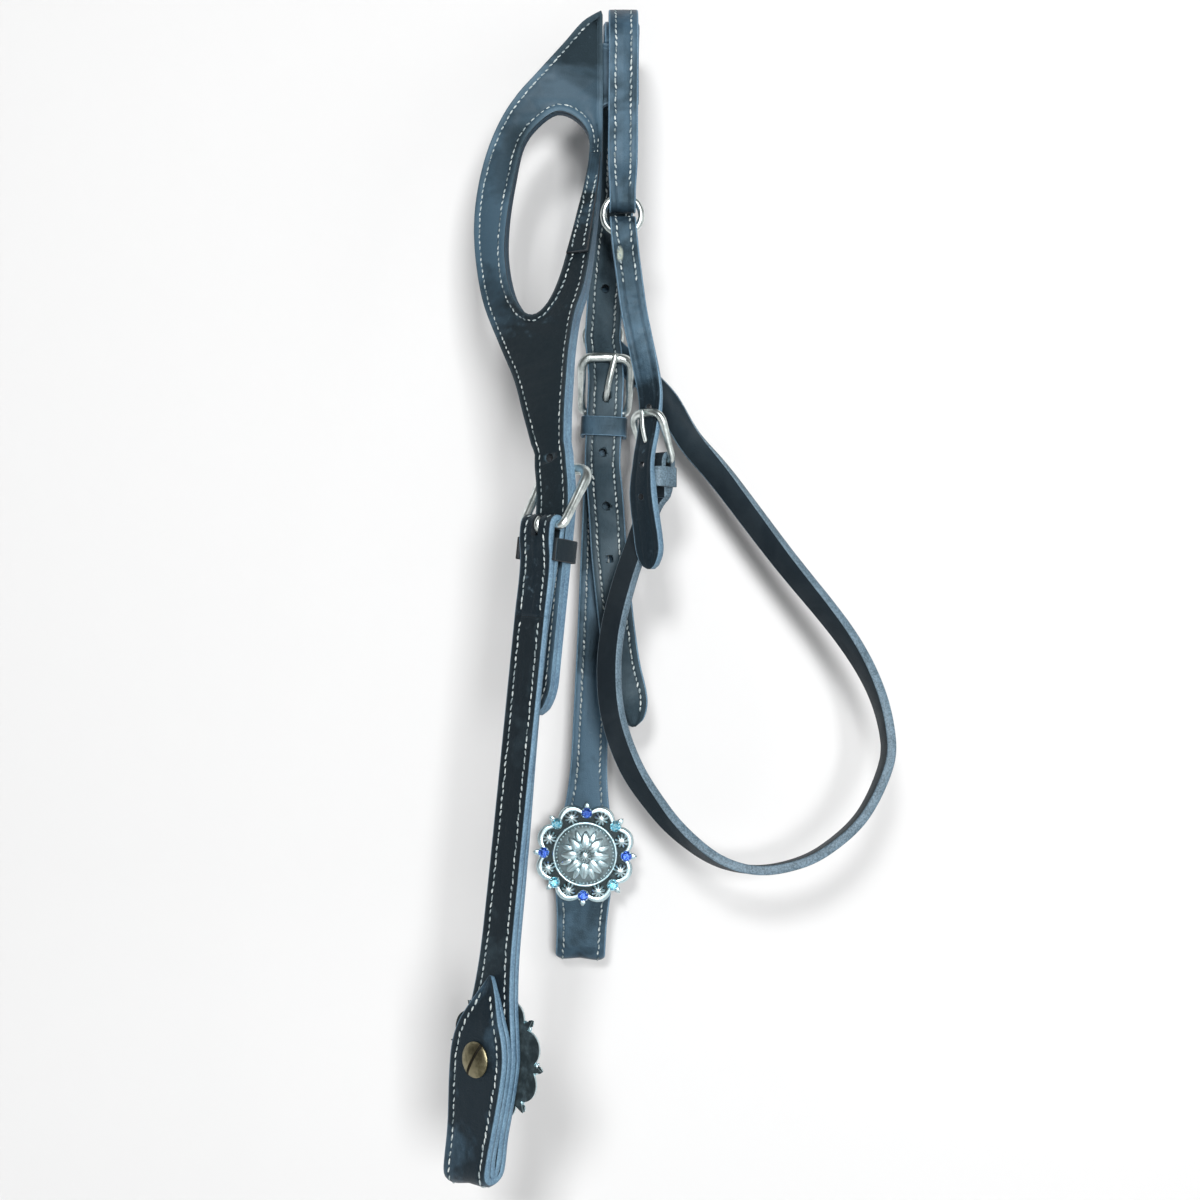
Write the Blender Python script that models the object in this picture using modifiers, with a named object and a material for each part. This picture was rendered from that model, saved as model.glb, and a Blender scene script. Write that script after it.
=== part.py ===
"""One ear headstall, hung over a round support by its crown.

The two halves hang from the crown turned inside out: the off half, with the ear piece, is in front and
shows the side that lies on the horse, and the near half is behind it and shows its outer side.
The origin is on the support, under the middle of the crown. +X is to the viewer's right, +Y is away
from the viewer and +Z is up. All sizes are in metres.
"""

import math

import bmesh
import bpy
from mathutils import Matrix, Vector

# Leather
LAYER = 0.0021
LATCH_STRAP = 0.0024
SEAM = 0.0003
BEND_GAP = 0.0006
CHEEK_WIDTH = 0.0159
HANGER_WIDTH = 0.0127
HANGER_FOLD_WIDTH = 0.0112
PINCHED_WIDTH = 0.0084
LATCH_WIDTH = 0.0111
CHEEK_LENGTH = 0.2455
LAP_LENGTH = 0.034
HOLE_RADIUS = 0.0017
HOLE_SPACING = 0.0234

# Crown
SUPPORT_RADIUS = 0.009
CROWN_X = 0.0006
CROWN_LAP = 0.025
HANGER_X = 0.0013
HANGER_LAP = 0.022

# Cheek buckles
BAR_RADIUS = 0.0016
TOP_BAR_RADIUS = 0.0019
BUCKLE_HEIGHT = 0.025
BUCKLE_FLARE = 0.0008
SIDE_ROOM = 0.0007
TONGUE_RADIUS = 0.0011
RUNNING_GAP = 0.0003
KEEPER_WALL = 0.0017
KEEPER_HEIGHT = 0.0085
KEEPER_ROOM = 0.0004

# Throat latch buckle
LATCH_BAR_RADIUS = 0.0014
LATCH_BUCKLE_HEIGHT = 0.0195
LATCH_TONGUE_RADIUS = 0.0009

# Rings
RING_RADIUS = 0.00805
RING_WIRE = 0.0014
RING_ROOM = 0.00085

# Bit loops and screws
BIT_LOOP_RADIUS = 0.0008
SCREW_HEIGHT = 0.0485
POST_RADIUS = 0.0024
SCREW_SHANK = 0.0013
SCREW_HEAD_RADIUS = 0.0064
SCREW_HEAD_HEIGHT = 0.0017
SLOT_WIDTH = 0.0013

# Conchos
CONCHO_RADIUS = 0.0225
CONCHO_SCALLOPS = 8
CONCHO_PLATE = 0.0016
CONCHO_DOME_RADIUS = 0.0138
CONCHO_DOME_HEIGHT = 0.0042
BERRY_RADIUS = 0.0036
BERRY_CIRCLE = 0.0182
STONE_RADIUS = 0.0024
STONE_HEIGHT = 0.0018
STONE_CIRCLE = 0.0179

# Cheek width by height over the screw, and the width of the flap that folds back inside
CHEEK_SHAPE = [(0.060, 0.0159), (0.040, 0.0164), (0.0275, 0.0182), (0.0187, 0.0207), (0.0099, 0.0242),
               (0.0011, 0.0272), (-0.010, 0.0264), (-0.025, 0.0233), (-0.0366, 0.0222), (-0.060, 0.0222)]
FLAP_SHAPE = [(0.0277, 0.0024), (0.0257, 0.0058), (0.0222, 0.0104), (0.0162, 0.0172), (0.0092, 0.0240),
              (0.0011, 0.0272), (-0.010, 0.0264), (-0.025, 0.0233), (-0.0366, 0.0222), (-0.060, 0.0222)]

# Where the two cheeks and the throat latch buckle hang: the middle of each heel bar
NEAR_BAR = Vector((-0.0067, 0.0135, -0.1639))
NEAR_FOOT = Vector((-0.0177, 0.0135, -0.4102))
OFF_BAR = Vector((-0.0330, -0.0880, -0.2196))
OFF_FOOT = Vector((-0.0540, -0.0980, -0.4627))
OFF_TURN = math.radians(140)
LATCH_BAR = Vector((0.0142, -0.0100, -0.1882))

# Billets above and below their buckles
BEND_HEIGHT = 0.032
NEAR_TAIL = 0.139
OFF_TAIL = 0.071
NEAR_SWAY = [(0.034, -0.0027), (0.023, -0.0010), (0.013, 0.0), (0.0, 0.0), (-0.014, 0.0), (-0.026, 0.0003),
             (-0.042, 0.0026), (-0.065, 0.0050), (-0.107, 0.0117), (-0.127, 0.0168), (-0.140, 0.0193)]
OFF_SWAY = [(0.034, 0.0026), (0.023, 0.0010), (0.013, 0.0), (0.0, 0.0), (-0.060, 0.0), (-0.080, -0.0005)]

DOUBLE = 2 * LAYER + SEAM
LAYER_STEP = (LAYER + SEAM) / 2
LATCH_STEP = (LATCH_STRAP + SEAM) / 2
CROWN_RADIUS = SUPPORT_RADIUS + DOUBLE / 2
HANGER_RADIUS = SUPPORT_RADIUS + DOUBLE + SEAM + DOUBLE / 2
FOLD_RADIUS = BAR_RADIUS + RUNNING_GAP + LAYER / 2
BILLET_Y = -(FOLD_RADIUS + LAYER / 2 + SEAM + DOUBLE / 2)
TOP_BAR_Y = BILLET_Y - DOUBLE / 2 - SEAM - TOP_BAR_RADIUS
FLAP_STEP = 2 * LAYER + 2 * SEAM
SCREW_Z = -CHEEK_LENGTH + SCREW_HEIGHT
LATCH_FOLD = LATCH_BAR_RADIUS + RUNNING_GAP + LATCH_STRAP / 2
LATCH_BILLET_Y = -(LATCH_FOLD + LATCH_STRAP + SEAM)
LATCH_TOP_Y = LATCH_BILLET_Y - LATCH_STRAP / 2 - SEAM - LATCH_BAR_RADIUS
RING_ROOM_RADIUS = RING_WIRE + RING_ROOM
RING_FOLD_HEIGHT = 0.00525
PINCHED_FOLD_HEIGHT = 0.0066
HANGER_FOLD = RING_ROOM_RADIUS + LAYER / 2
LATCH_RING_FOLD = RING_ROOM_RADIUS + LATCH_STRAP / 2
ARCH = -SUPPORT_RADIUS
X_AXIS = Vector((1.0, 0.0, 0.0))
Y_AXIS = Vector((0.0, 1.0, 0.0))

# The rings hang from the two ends of the hanger, in front of the crown strap and behind it
RING_1 = Vector((0.0008, -HANGER_RADIUS, -0.0836))
RING_2 = Vector((-0.0074, HANGER_RADIUS, -0.1292))

for old in list(bpy.data.objects):
    bpy.data.objects.remove(old, do_unlink=True)

headstall = bpy.data.collections.new("one_ear_headstall")
cutters = bpy.data.collections.new("cutters")
bpy.context.scene.collection.children.link(headstall)
bpy.context.scene.collection.children.link(cutters)


def material(name, colour, roughness, metallic):
    """A Principled material of one colour."""
    made = bpy.data.materials.new(name)
    made.use_nodes = True
    shader = made.node_tree.nodes["Principled BSDF"]
    shader.inputs["Base Color"].default_value = (*colour, 1.0)
    shader.inputs["Roughness"].default_value = roughness
    shader.inputs["Metallic"].default_value = metallic
    made.diffuse_color = (*colour, 1.0)
    return made


def empty(name, matrix):
    """A place for pieces: its origin is on their joint."""
    place = bpy.data.objects.new(name, None)
    place.empty_display_size = 0.01
    headstall.objects.link(place)
    place.matrix_world = matrix
    return place


def add(name, mesh, finish, parent=None, smooth=True):
    """Puts a mesh in the headstall as one named piece."""
    piece = bpy.data.objects.new(name, mesh)
    headstall.objects.link(piece)
    piece.parent = parent
    mesh.materials.clear()
    mesh.materials.append(finish)
    if smooth:
        mesh.shade_smooth()
        mesh.set_sharp_from_angle(angle=math.radians(35))
    return piece


def as_cutter(name, mesh, parent=None):
    """Puts a mesh with the cutters, out of sight."""
    tool = bpy.data.objects.new(name, mesh)
    cutters.objects.link(tool)
    tool.parent = parent
    tool.hide_render = True
    tool.display_type = "WIRE"
    return tool


def boolean(piece, tool, operation="DIFFERENCE"):
    """Cuts or joins a piece with another object."""
    change = piece.modifiers.new(tool.name, "BOOLEAN")
    change.object = tool
    change.operation = operation
    change.solver = "EXACT"


def curve(points, per_span=6):
    """A smooth line through the given points, as a Catmull-Rom spline."""
    made = []
    last = len(points) - 1
    for i in range(last):
        before = points[max(i - 1, 0)]
        start = points[i]
        end = points[i + 1]
        after = points[min(i + 2, last)]
        for k in range(per_span):
            t = k / per_span
            made.append(0.5 * (2 * start + (end - before) * t
                               + (2 * before - 5 * start + 4 * end - after) * t * t
                               + (3 * start - before - 3 * end + after) * t ** 3))
    made.append(points[last].copy())
    return made


def straight(table, at):
    """Reads a table of (place, value) rows, highest place first, along straight lines."""
    if at >= table[0][0]:
        return table[0][1]
    for (high, first), (low, second) in zip(table, table[1:]):
        if at >= low:
            return first + (second - first) * (high - at) / (high - low)
    return table[-1][1]


def smooth_table(table):
    """The same table with a smooth curve through its rows."""
    return [tuple(row) for row in curve([Vector(row) for row in table], 5)]


def ease(start, end, count):
    """Points from one (y, z) place to another, leaving and arriving along Z."""
    made = []
    for i in range(1, count + 1):
        t = i / count
        made.append((start[0] + (end[0] - start[0]) * t * t * (3 - 2 * t), start[1] + (end[1] - start[1]) * t))
    return made


def turn(centre, radius, first, last, count):
    """Points on an arc in the (y, z) plane, with angles in degrees from +Y towards +Z."""
    made = []
    for i in range(count + 1):
        angle = math.radians(first + (last - first) * i / count)
        made.append((centre[0] + radius * math.cos(angle), centre[1] + radius * math.sin(angle)))
    return made


def offset(path, sides, distance):
    """Moves a path square to itself and to the strap's width."""
    moved = []
    for i, point in enumerate(path):
        along = path[min(i + 1, len(path) - 1)] - path[max(i - 1, 0)]
        moved.append(point + along.cross(sides[i]).normalized() * distance)
    return moved


def ribbon(name, path, sides, widths, thickness, finish, parent=None):
    """A strap of leather: rows of two points across a path, given a thickness."""
    mesh = bpy.data.meshes.new(name)
    shape = bmesh.new()
    rows = []
    for point, side, width in zip(path, sides, widths):
        half = side.normalized() * (width / 2)
        rows.append((shape.verts.new(point - half), shape.verts.new(point + half)))
    for (a, b), (c, d) in zip(rows, rows[1:]):
        shape.faces.new((a, b, d, c))
    shape.to_mesh(mesh)
    shape.free()
    strap = add(name, mesh, finish, parent)
    wall = strap.modifiers.new("thickness", "SOLIDIFY")
    wall.thickness = thickness
    wall.offset = 0.0
    wall.use_even_offset = True
    return strap


def flat_ribbon(name, track, widths, thickness, finish, parent, sway=None):
    """A strap whose width lies along X, from its (y, z) track."""
    path = []
    for y, z in track:
        x = straight(sway, z) if sway else 0.0
        path.append(Vector((x, y, z)))
    sides = []
    for i in range(len(path)):
        along = path[min(i + 1, len(path) - 1)] - path[max(i - 1, 0)]
        sides.append(Vector((abs(along.z), 0.0, -math.copysign(along.x, along.z))) if sway else X_AXIS)
    sides[0] = X_AXIS
    return ribbon(name, path, sides, widths, thickness, finish, parent)


def tube(name, points, radius, closed=False, radii=None, corners=2):
    """A round bar along a line of points, as a curve with filled ends."""
    line = bpy.data.curves.new(name, "CURVE")
    line.dimensions = "3D"
    line.bevel_depth = radius
    line.bevel_resolution = corners
    line.use_fill_caps = True
    spline = line.splines.new("POLY")
    spline.points.add(len(points) - 1)
    for i, point in enumerate(points):
        spline.points[i].co = (*point, 1.0)
        if radii:
            spline.points[i].radius = radii[i] / radius
    spline.use_cyclic_u = closed
    return line


def tube_mesh(name, points, radius, closed=False, radii=None, corners=2):
    """The same bar as a closed mesh."""
    line = bpy.data.objects.new(name, tube(name, points, radius, closed, radii, corners))
    bpy.context.scene.collection.objects.link(line)
    graph = bpy.context.evaluated_depsgraph_get()
    mesh = bpy.data.meshes.new_from_object(line.evaluated_get(graph))
    bpy.data.objects.remove(line, do_unlink=True)
    shape = bmesh.new()
    shape.from_mesh(mesh)
    bmesh.ops.remove_doubles(shape, verts=shape.verts, dist=0.00001)
    bmesh.ops.recalc_face_normals(shape, faces=shape.faces)
    shape.to_mesh(mesh)
    shape.free()
    return mesh


def rods_along_y(name, places, low, high, parent, sides=16):
    """A cutter of round rods along Y, one for each (x, z, radius)."""
    mesh = bpy.data.meshes.new(name)
    shape = bmesh.new()
    for x, z, radius in places:
        place = Matrix.Translation((x, (low + high) / 2, z)) @ Matrix.Rotation(math.pi / 2, 4, "X")
        bmesh.ops.create_cone(shape, cap_ends=True, segments=sides, radius1=radius, radius2=radius,
                              depth=high - low, matrix=place)
    shape.to_mesh(mesh)
    shape.free()
    return as_cutter(name, mesh, parent)


def block(name, size, place, parent):
    """A cutter with square corners."""
    mesh = bpy.data.meshes.new(name)
    shape = bmesh.new()
    bmesh.ops.create_cube(shape, size=1.0, matrix=Matrix.Translation(place) @ Matrix.Diagonal((*size, 1.0)))
    shape.to_mesh(mesh)
    shape.free()
    return as_cutter(name, mesh, parent)


def turned(name, profile, finish, parent, steps=24):
    """A turned piece: (radius, height) points turned about Y, with heights measured towards -Y."""
    mesh = bpy.data.meshes.new(name)
    shape = bmesh.new()
    line = [shape.verts.new((radius, 0.0, height)) for radius, height in profile]
    for a, b in zip(line, line[1:]):
        shape.edges.new((a, b))
    shape.to_mesh(mesh)
    shape.free()
    piece = add(name, mesh, finish, parent)
    piece.rotation_euler = (math.pi / 2, 0.0, 0.0)
    screw = piece.modifiers.new("turn", "SCREW")
    screw.steps = steps
    screw.render_steps = steps
    screw.use_merge_vertices = True
    screw.merge_threshold = 0.00001
    return piece


leather_black = material("black_leather", (0.045, 0.055, 0.07), 0.55, 0.0)
leather_lining = material("lining_leather", (0.035, 0.04, 0.045), 0.65, 0.0)
nickel = material("nickel", (0.72, 0.72, 0.70), 0.28, 1.0)
silver = material("antique_silver", (0.55, 0.57, 0.58), 0.35, 1.0)
brass = material("antique_brass", (0.42, 0.32, 0.16), 0.4, 1.0)
blue_stone = material("blue_stone", (0.03, 0.10, 0.65), 0.05, 0.0)
aqua_stone = material("aqua_stone", (0.25, 0.65, 0.85), 0.05, 0.0)


def hanging_frame(bar, foot, turned_by):
    """The frame of a cheek: its origin on the heel bar, Z up along the cheek and -Y out of its show side."""
    up = (bar - foot).normalized()
    across = Matrix.Rotation(turned_by, 3, "Z") @ X_AXIS
    out = up.cross(across).normalized()
    across = out.cross(up).normalized()
    frame = Matrix((across, out, up)).transposed().to_4x4()
    frame.translation = bar
    return frame


near_frame = hanging_frame(NEAR_BAR, NEAR_FOOT, 0.0)
off_frame = hanging_frame(OFF_BAR, OFF_FOOT, OFF_TURN)


def cheek_track(layer):
    """The (y, z) line of one layer of a cheek, from its lap at the buckle to the tip of the flap."""
    bar_low = -0.004
    joined = -0.014
    loop_z = -CHEEK_LENGTH + BIT_LOOP_RADIUS + 2 * LAYER + SEAM
    loop_y = LAYER + SEAM
    loop_top = SCREW_Z - CONCHO_RADIUS - 0.002
    if layer == 0:
        y = -LAYER_STEP
        radius = BIT_LOOP_RADIUS + 1.5 * LAYER + SEAM
        flap_y = FLAP_STEP + LAYER_STEP
        line = [(LAYER_STEP, -LAP_LENGTH)]
        line += ease((LAYER_STEP, joined - 0.001), (LAYER_STEP, joined), 1)
        line += ease((LAYER_STEP, joined), (FOLD_RADIUS, bar_low), 4)
        line += turn((0.0, 0.0), FOLD_RADIUS, 0, 180, 12)
        line += ease((-FOLD_RADIUS, bar_low + 0.0005), (-FOLD_RADIUS, bar_low), 1)
        line += ease((-FOLD_RADIUS, bar_low), (y, joined), 4)
    else:
        y = LAYER_STEP
        radius = BIT_LOOP_RADIUS + LAYER / 2
        flap_y = FLAP_STEP - LAYER_STEP
        line = [(y, -LAP_LENGTH - SEAM)]
    wide_from = SCREW_Z + CHEEK_SHAPE[0][0]
    line += [(y, wide_from)]
    line += ease((y, wide_from), (y, loop_top), 16)
    line += ease((y, loop_top), (loop_y - radius, loop_z), 5)
    line += turn((loop_y, loop_z), radius, 180, 360, 9)[1:]
    line += ease((loop_y + radius, loop_z), (flap_y, loop_top), 5)
    tip = SCREW_Z + FLAP_SHAPE[0][0] - (SEAM if layer else 0.0)
    line += ease((flap_y, loop_top), (flap_y, tip - 0.006), 12)
    line += ease((flap_y, tip - 0.006), (flap_y, tip), 5)
    return line


def cheek_widths(track):
    """The width at each point of a cheek's track."""
    lowest = min(range(len(track)), key=lambda i: track[i][1])
    flap_shape = smooth_table(FLAP_SHAPE)
    cheek_shape = smooth_table(CHEEK_SHAPE)
    widths = []
    for i, (_, z) in enumerate(track):
        shape = flap_shape if i > lowest else cheek_shape
        widths.append(straight(shape, z - SCREW_Z))
    return widths


def frame_line(half_low, half_high, height, depth, corner, steps=5):
    """The closed line of a buckle frame: a bar along X at the bottom and a bowed bar at the top."""
    corners = [(-half_low, 0.0), (-half_high, height), (half_high, height), (half_low, 0.0)]
    line = []
    for i, (x, z) in enumerate(corners):
        before = Vector(corners[i - 1]) - Vector((x, z))
        after = Vector(corners[(i + 1) % 4]) - Vector((x, z))
        start = Vector((x, z)) + before.normalized() * corner
        end = Vector((x, z)) + after.normalized() * corner
        for k in range(steps + 1):
            t = k / steps
            line.append(start * (1 - t) ** 2 + Vector((x, z)) * 2 * t * (1 - t) + end * t * t)
    return [Vector((p.x, depth * p.y / height, p.y)) for p in line]


def tongue_line(bar_radius, own_radius, leather_front, top_y, height):
    """A buckle tongue: wrapped round the heel bar, then up through the billet and over the top bar."""
    wrap = bar_radius + RUNNING_GAP + own_radius
    line = []
    for i in range(15):
        angle = math.radians(230 * (1 - i / 14))
        line.append(Vector((0.0, -wrap * math.cos(angle), -wrap * math.sin(angle))))
    tip_y = top_y - own_radius
    rise = [Vector((0.0, -wrap, 0.0)), Vector((0.0, (leather_front - wrap) / 2 - 0.0006, 0.0032)),
            Vector((0.0, leather_front - 0.0016, 0.0076)),
            Vector((0.0, (leather_front + tip_y) / 2 - 0.0014, 0.0076 + (height - 0.0076) * 0.45)),
            Vector((0.0, tip_y, height)), Vector((0.0, tip_y + 0.0004, height + 0.0022))]
    return line + curve(rise, 3)[1:], curve(rise, 3)


def buckle(side, place, width, bar_radius, top_radius, own_radius, height, top_y, leather_front):
    """A heel bar buckle: its frame and its tongue, and the line that the tongue follows."""
    low = width / 2 + SIDE_ROOM + bar_radius
    high = low + BUCKLE_FLARE
    line = frame_line(low, high, height, top_y, 0.0028)
    radii = [bar_radius + (top_radius - bar_radius) * min(max(p.z / height, 0.0), 1.0) for p in line]
    add(side + "_buckle", tube_mesh(side + "_buckle", line, bar_radius, True, radii, 2), nickel,
        empty(side + "_buckle_joint", place))
    whole, rise = tongue_line(bar_radius, own_radius, leather_front, top_y - top_radius - SEAM, height)
    add(side + "_tongue", tube_mesh(side + "_tongue", whole, own_radius, False, None, 2), nickel,
        empty(side + "_tongue_joint", place))
    return rise


def tongue_cutters(side, rise, own_radius, place):
    """The slanting hole that a tongue needs in its billet, at rest and lifted."""
    tools = []
    for i, lift in enumerate((0.0, 7.0)):
        line = [Matrix.Rotation(math.radians(lift), 4, "X") @ p for p in rise]
        tool = as_cutter(f"{side}_tongue_room_{i}",
                         tube_mesh(f"{side}_tongue_room_{i}", line, own_radius + 0.0005, False, None, 1), place)
        tools.append(tool)
    return tools


def keeper(side, place, width, bar_radius, leather_front, low_y):
    """The loop that holds the billet down, with its ends sewn at the cheek's edges."""
    half = width / 2 + KEEPER_ROOM + KEEPER_WALL / 2
    front = leather_front - SEAM - KEEPER_WALL / 2
    corner = 0.0016
    line = [Vector((-half, low_y, 0.0)), Vector((-half, front + corner, 0.0))]
    for i in range(1, 5):
        angle = math.radians(90 * i / 4)
        line.append(Vector((-half + corner - corner * math.cos(angle), front + corner - corner * math.sin(angle), 0.0)))
    line += [Vector((-p.x, p.y, 0.0)) for p in reversed(line)]
    middle = Vector((0.0, 0.0, -bar_radius - 0.0012 - KEEPER_HEIGHT / 2))
    path = [p + middle for p in line]
    sides = [Vector((0.0, 0.0, 1.0))] * len(path)
    ribbon(side + "_keeper", path, sides, [KEEPER_HEIGHT] * len(path), KEEPER_WALL, leather_black, place)


def concho_outline(scallop, count=CONCHO_SCALLOPS, per=14):
    """Round a concho: broad round scallops with a small point between each two."""
    made = []
    for i in range(count * per):
        part = (i % per) / per
        angle = 2 * math.pi * i / (count * per)
        bow = abs(math.sin(math.pi * part)) ** 0.55
        point = max(0.0, 1 - min(part, 1 - part) * per / 1.6)
        radius = scallop * (0.905 + 0.062 * bow + 0.095 * point)
        made.append((radius * math.sin(angle), radius * math.cos(angle)))
    return made


def concho(side, place):
    """The concho, its post and its screw, turned about the post's axis, and its stones."""
    joint = empty(side + "_concho_joint", place @ Matrix.Translation((0.0, -LAYER - SEAM / 2, SCREW_Z)))
    back = -SEAM
    mesh = bpy.data.meshes.new(side + "_concho")
    shape = bmesh.new()
    rim = [shape.verts.new((x, back, z)) for x, z in concho_outline(CONCHO_RADIUS)]
    face = shape.faces.new(rim)
    made = bmesh.ops.extrude_face_region(shape, geom=[face])
    moved = [v for v in made["geom"] if isinstance(v, bmesh.types.BMVert)]
    bmesh.ops.translate(shape, verts=moved, vec=(0.0, -CONCHO_PLATE, 0.0))
    bmesh.ops.recalc_face_normals(shape, faces=shape.faces)
    shape.to_mesh(mesh)
    shape.free()
    plate = add(side + "_concho", mesh, silver, joint)
    front = back - CONCHO_PLATE
    dome = dome_mesh(side + "_dome", CONCHO_DOME_RADIUS, CONCHO_DOME_HEIGHT, 0.0, 0.0, front, 24, 5)
    boolean(plate, as_cutter(side + "_dome", dome, joint), "UNION")
    step = 2 * math.pi / CONCHO_SCALLOPS
    berries = bpy.data.meshes.new(side + "_berries")
    shape = bmesh.new()
    for i in range(CONCHO_SCALLOPS):
        angle = step * (i + 0.5)
        part = dome_mesh("berry", BERRY_RADIUS, 0.0022, BERRY_CIRCLE * math.sin(angle),
                         BERRY_CIRCLE * math.cos(angle), front, 12, 3)
        shape.from_mesh(part)
        bpy.data.meshes.remove(part)
    shape.to_mesh(berries)
    shape.free()
    boolean(plate, as_cutter(side + "_berries", berries, joint), "UNION")
    for i in range(CONCHO_SCALLOPS):
        angle = step * i
        stone(f"{side}_stone_{i + 1}", STONE_CIRCLE * math.sin(angle), STONE_CIRCLE * math.cos(angle),
              front - SEAM / 3, blue_stone if i % 2 == 0 else aqua_stone, joint)
    through = FLAP_STEP + DOUBLE - SEAM
    post = turned(side + "_post", [(0.0, 0.0), (POST_RADIUS, 0.0), (POST_RADIUS, -through),
                                   (SCREW_SHANK + 0.0003, -through), (SCREW_SHANK + 0.0003, -0.0022),
                                   (0.0, -0.0022)], nickel, joint)
    head = turned(side + "_screw", [(0.0, 0.006), (SCREW_SHANK, 0.006), (SCREW_SHANK, 0.0),
                                    (SCREW_HEAD_RADIUS, 0.0), (SCREW_HEAD_RADIUS, -0.0006),
                                    (SCREW_HEAD_RADIUS * 0.82, -SCREW_HEAD_HEIGHT * 0.85),
                                    (SCREW_HEAD_RADIUS * 0.45, -SCREW_HEAD_HEIGHT), (0.0, -SCREW_HEAD_HEIGHT)],
                  brass, joint)
    head.location = (0.0, through + 2 * SEAM, 0.0)
    slot = block(side + "_screw_slot", (SLOT_WIDTH, 0.0018, 0.03),
                 (0.0, through + 2 * SEAM + SCREW_HEAD_HEIGHT, 0.0), joint)
    slot.rotation_euler = (0.0, math.radians(25), 0.0)
    boolean(head, slot)


def dome_mesh(name, radius, height, x, z, base, segments, rings):
    """A low dome that rises towards -Y from a base plane, closed below it."""
    mesh = bpy.data.meshes.new(name)
    shape = bmesh.new()
    sunk = 0.0004
    rows = []
    for k in range(rings):
        angle = math.pi / 2 * k / rings
        rows.append([(x + radius * math.cos(angle) * math.cos(2 * math.pi * i / segments),
                      base - height * math.sin(angle),
                      z + radius * math.cos(angle) * math.sin(2 * math.pi * i / segments))
                     for i in range(segments)])
    rows.insert(0, [(px, base + sunk, pz) for px, _, pz in rows[0]])
    made = [[shape.verts.new(p) for p in row] for row in rows]
    for low, high in zip(made, made[1:]):
        for i in range(segments):
            shape.faces.new((low[i], low[i - 1], high[i - 1], high[i]))
    top = shape.verts.new((x, base - height, z))
    for i in range(segments):
        shape.faces.new((made[-1][i], made[-1][i - 1], top))
    shape.faces.new(made[0])
    bmesh.ops.recalc_face_normals(shape, faces=shape.faces)
    shape.to_mesh(mesh)
    shape.free()
    return mesh


def stone(name, x, z, base, finish, parent):
    """A round faceted stone."""
    mesh = bpy.data.meshes.new(name)
    shape = bmesh.new()
    place = Matrix.Translation((x, base - STONE_HEIGHT / 2, z)) @ Matrix.Rotation(math.pi / 2, 4, "X")
    bmesh.ops.create_cone(shape, cap_ends=True, segments=8, radius1=STONE_RADIUS,
                          radius2=STONE_RADIUS * 0.55, depth=STONE_HEIGHT, matrix=place)
    shape.to_mesh(mesh)
    shape.free()
    add(name, mesh, finish, parent, False)


def tip_width(width, left):
    """A strap's width near its round pointed tip."""
    reach = 0.013
    if left >= reach:
        return width
    return max(width * math.sqrt(max(0.0, 1 - (1 - left / reach) ** 1.8)), 0.0016)


def billet(side, place, tail, sway, hole_heights):
    """The billet's two layers, from the bend over the buckle to the tip below it."""
    tools = []
    for i, (step, name) in enumerate(((-LAYER_STEP, "_billet_outer"), (LAYER_STEP, "_billet_lining"))):
        heights = [BEND_HEIGHT - BEND_GAP / 2, 0.026, 0.020, 0.015, -0.024]
        heights += [-0.024 - (tail - 0.037) * k / 8 for k in range(1, 9)]
        heights += [-tail + 0.013 * (1 - k / 6) for k in range(1, 7)]
        shorter = SEAM if i else 0.0
        track = [(BILLET_Y + step, z + (shorter if z < -tail + 0.001 else 0.0)) for z in heights]
        widths = [tip_width(CHEEK_WIDTH, z + tail) for z in heights]
        strap = flat_ribbon(side + name, track, widths, LAYER, leather_black if i == 0 else leather_lining,
                            place, sway)
        tools.append(strap)
    places = [(straight(sway, z), z, HOLE_RADIUS) for z in hole_heights]
    pins = rods_along_y(side + "_billet_holes", places, BILLET_Y - 0.006, BILLET_Y + 0.006, place, 10)
    for strap in tools:
        boolean(strap, pins)
    return tools


def cheek_side(side, frame, tail, sway, hole_heights):
    """Everything below the bend of one side: billet, buckle, keeper, cheek, concho and screw."""
    place = empty(side + "_cheek_frame", frame)
    rise = buckle(side, frame, CHEEK_WIDTH, BAR_RADIUS, TOP_BAR_RADIUS, TONGUE_RADIUS, BUCKLE_HEIGHT,
                  TOP_BAR_Y, BILLET_Y - DOUBLE / 2)
    straps = billet(side, place, tail, sway, hole_heights)
    rooms = tongue_cutters(side, rise, TONGUE_RADIUS, place)
    for strap in straps:
        for room in rooms:
            boolean(strap, room)
    keeper(side, place, CHEEK_WIDTH, BAR_RADIUS, BILLET_Y - DOUBLE / 2, DOUBLE / 2)
    slot = block(side + "_tongue_slot", (2 * TONGUE_RADIUS + 0.0011, 0.02, 0.0125), (0.0, 0.0, 0.0005), place)
    screw_way = rods_along_y(side + "_screw_way", [(0.0, SCREW_Z, POST_RADIUS + SEAM)], -0.01, 0.02, place)
    for layer, name in enumerate(("_cheek_outer", "_cheek_lining")):
        track = cheek_track(layer)
        leather = flat_ribbon(side + name, track, cheek_widths(track), LAYER,
                              leather_black if layer == 0 else leather_lining, place)
        if layer == 0:
            boolean(leather, slot)
        boolean(leather, screw_way)
    concho(side, frame)


near_holes = [-0.0186 - HOLE_SPACING * k for k in range(3)]
cheek_side("near", near_frame, NEAR_TAIL, smooth_table(NEAR_SWAY), near_holes)
off_holes = [0.0262, -0.0186, -0.0186 - HOLE_SPACING]
cheek_side("off", off_frame, OFF_TAIL, smooth_table(OFF_SWAY), off_holes)


def across(path, axis=X_AXIS):
    """The width direction at each point of a path: the given axis, made square to the path."""
    made = []
    for i in range(len(path)):
        along = (path[min(i + 1, len(path) - 1)] - path[max(i - 1, 0)]).normalized()
        made.append((axis - along * axis.dot(along)).normalized())
    return made


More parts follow.
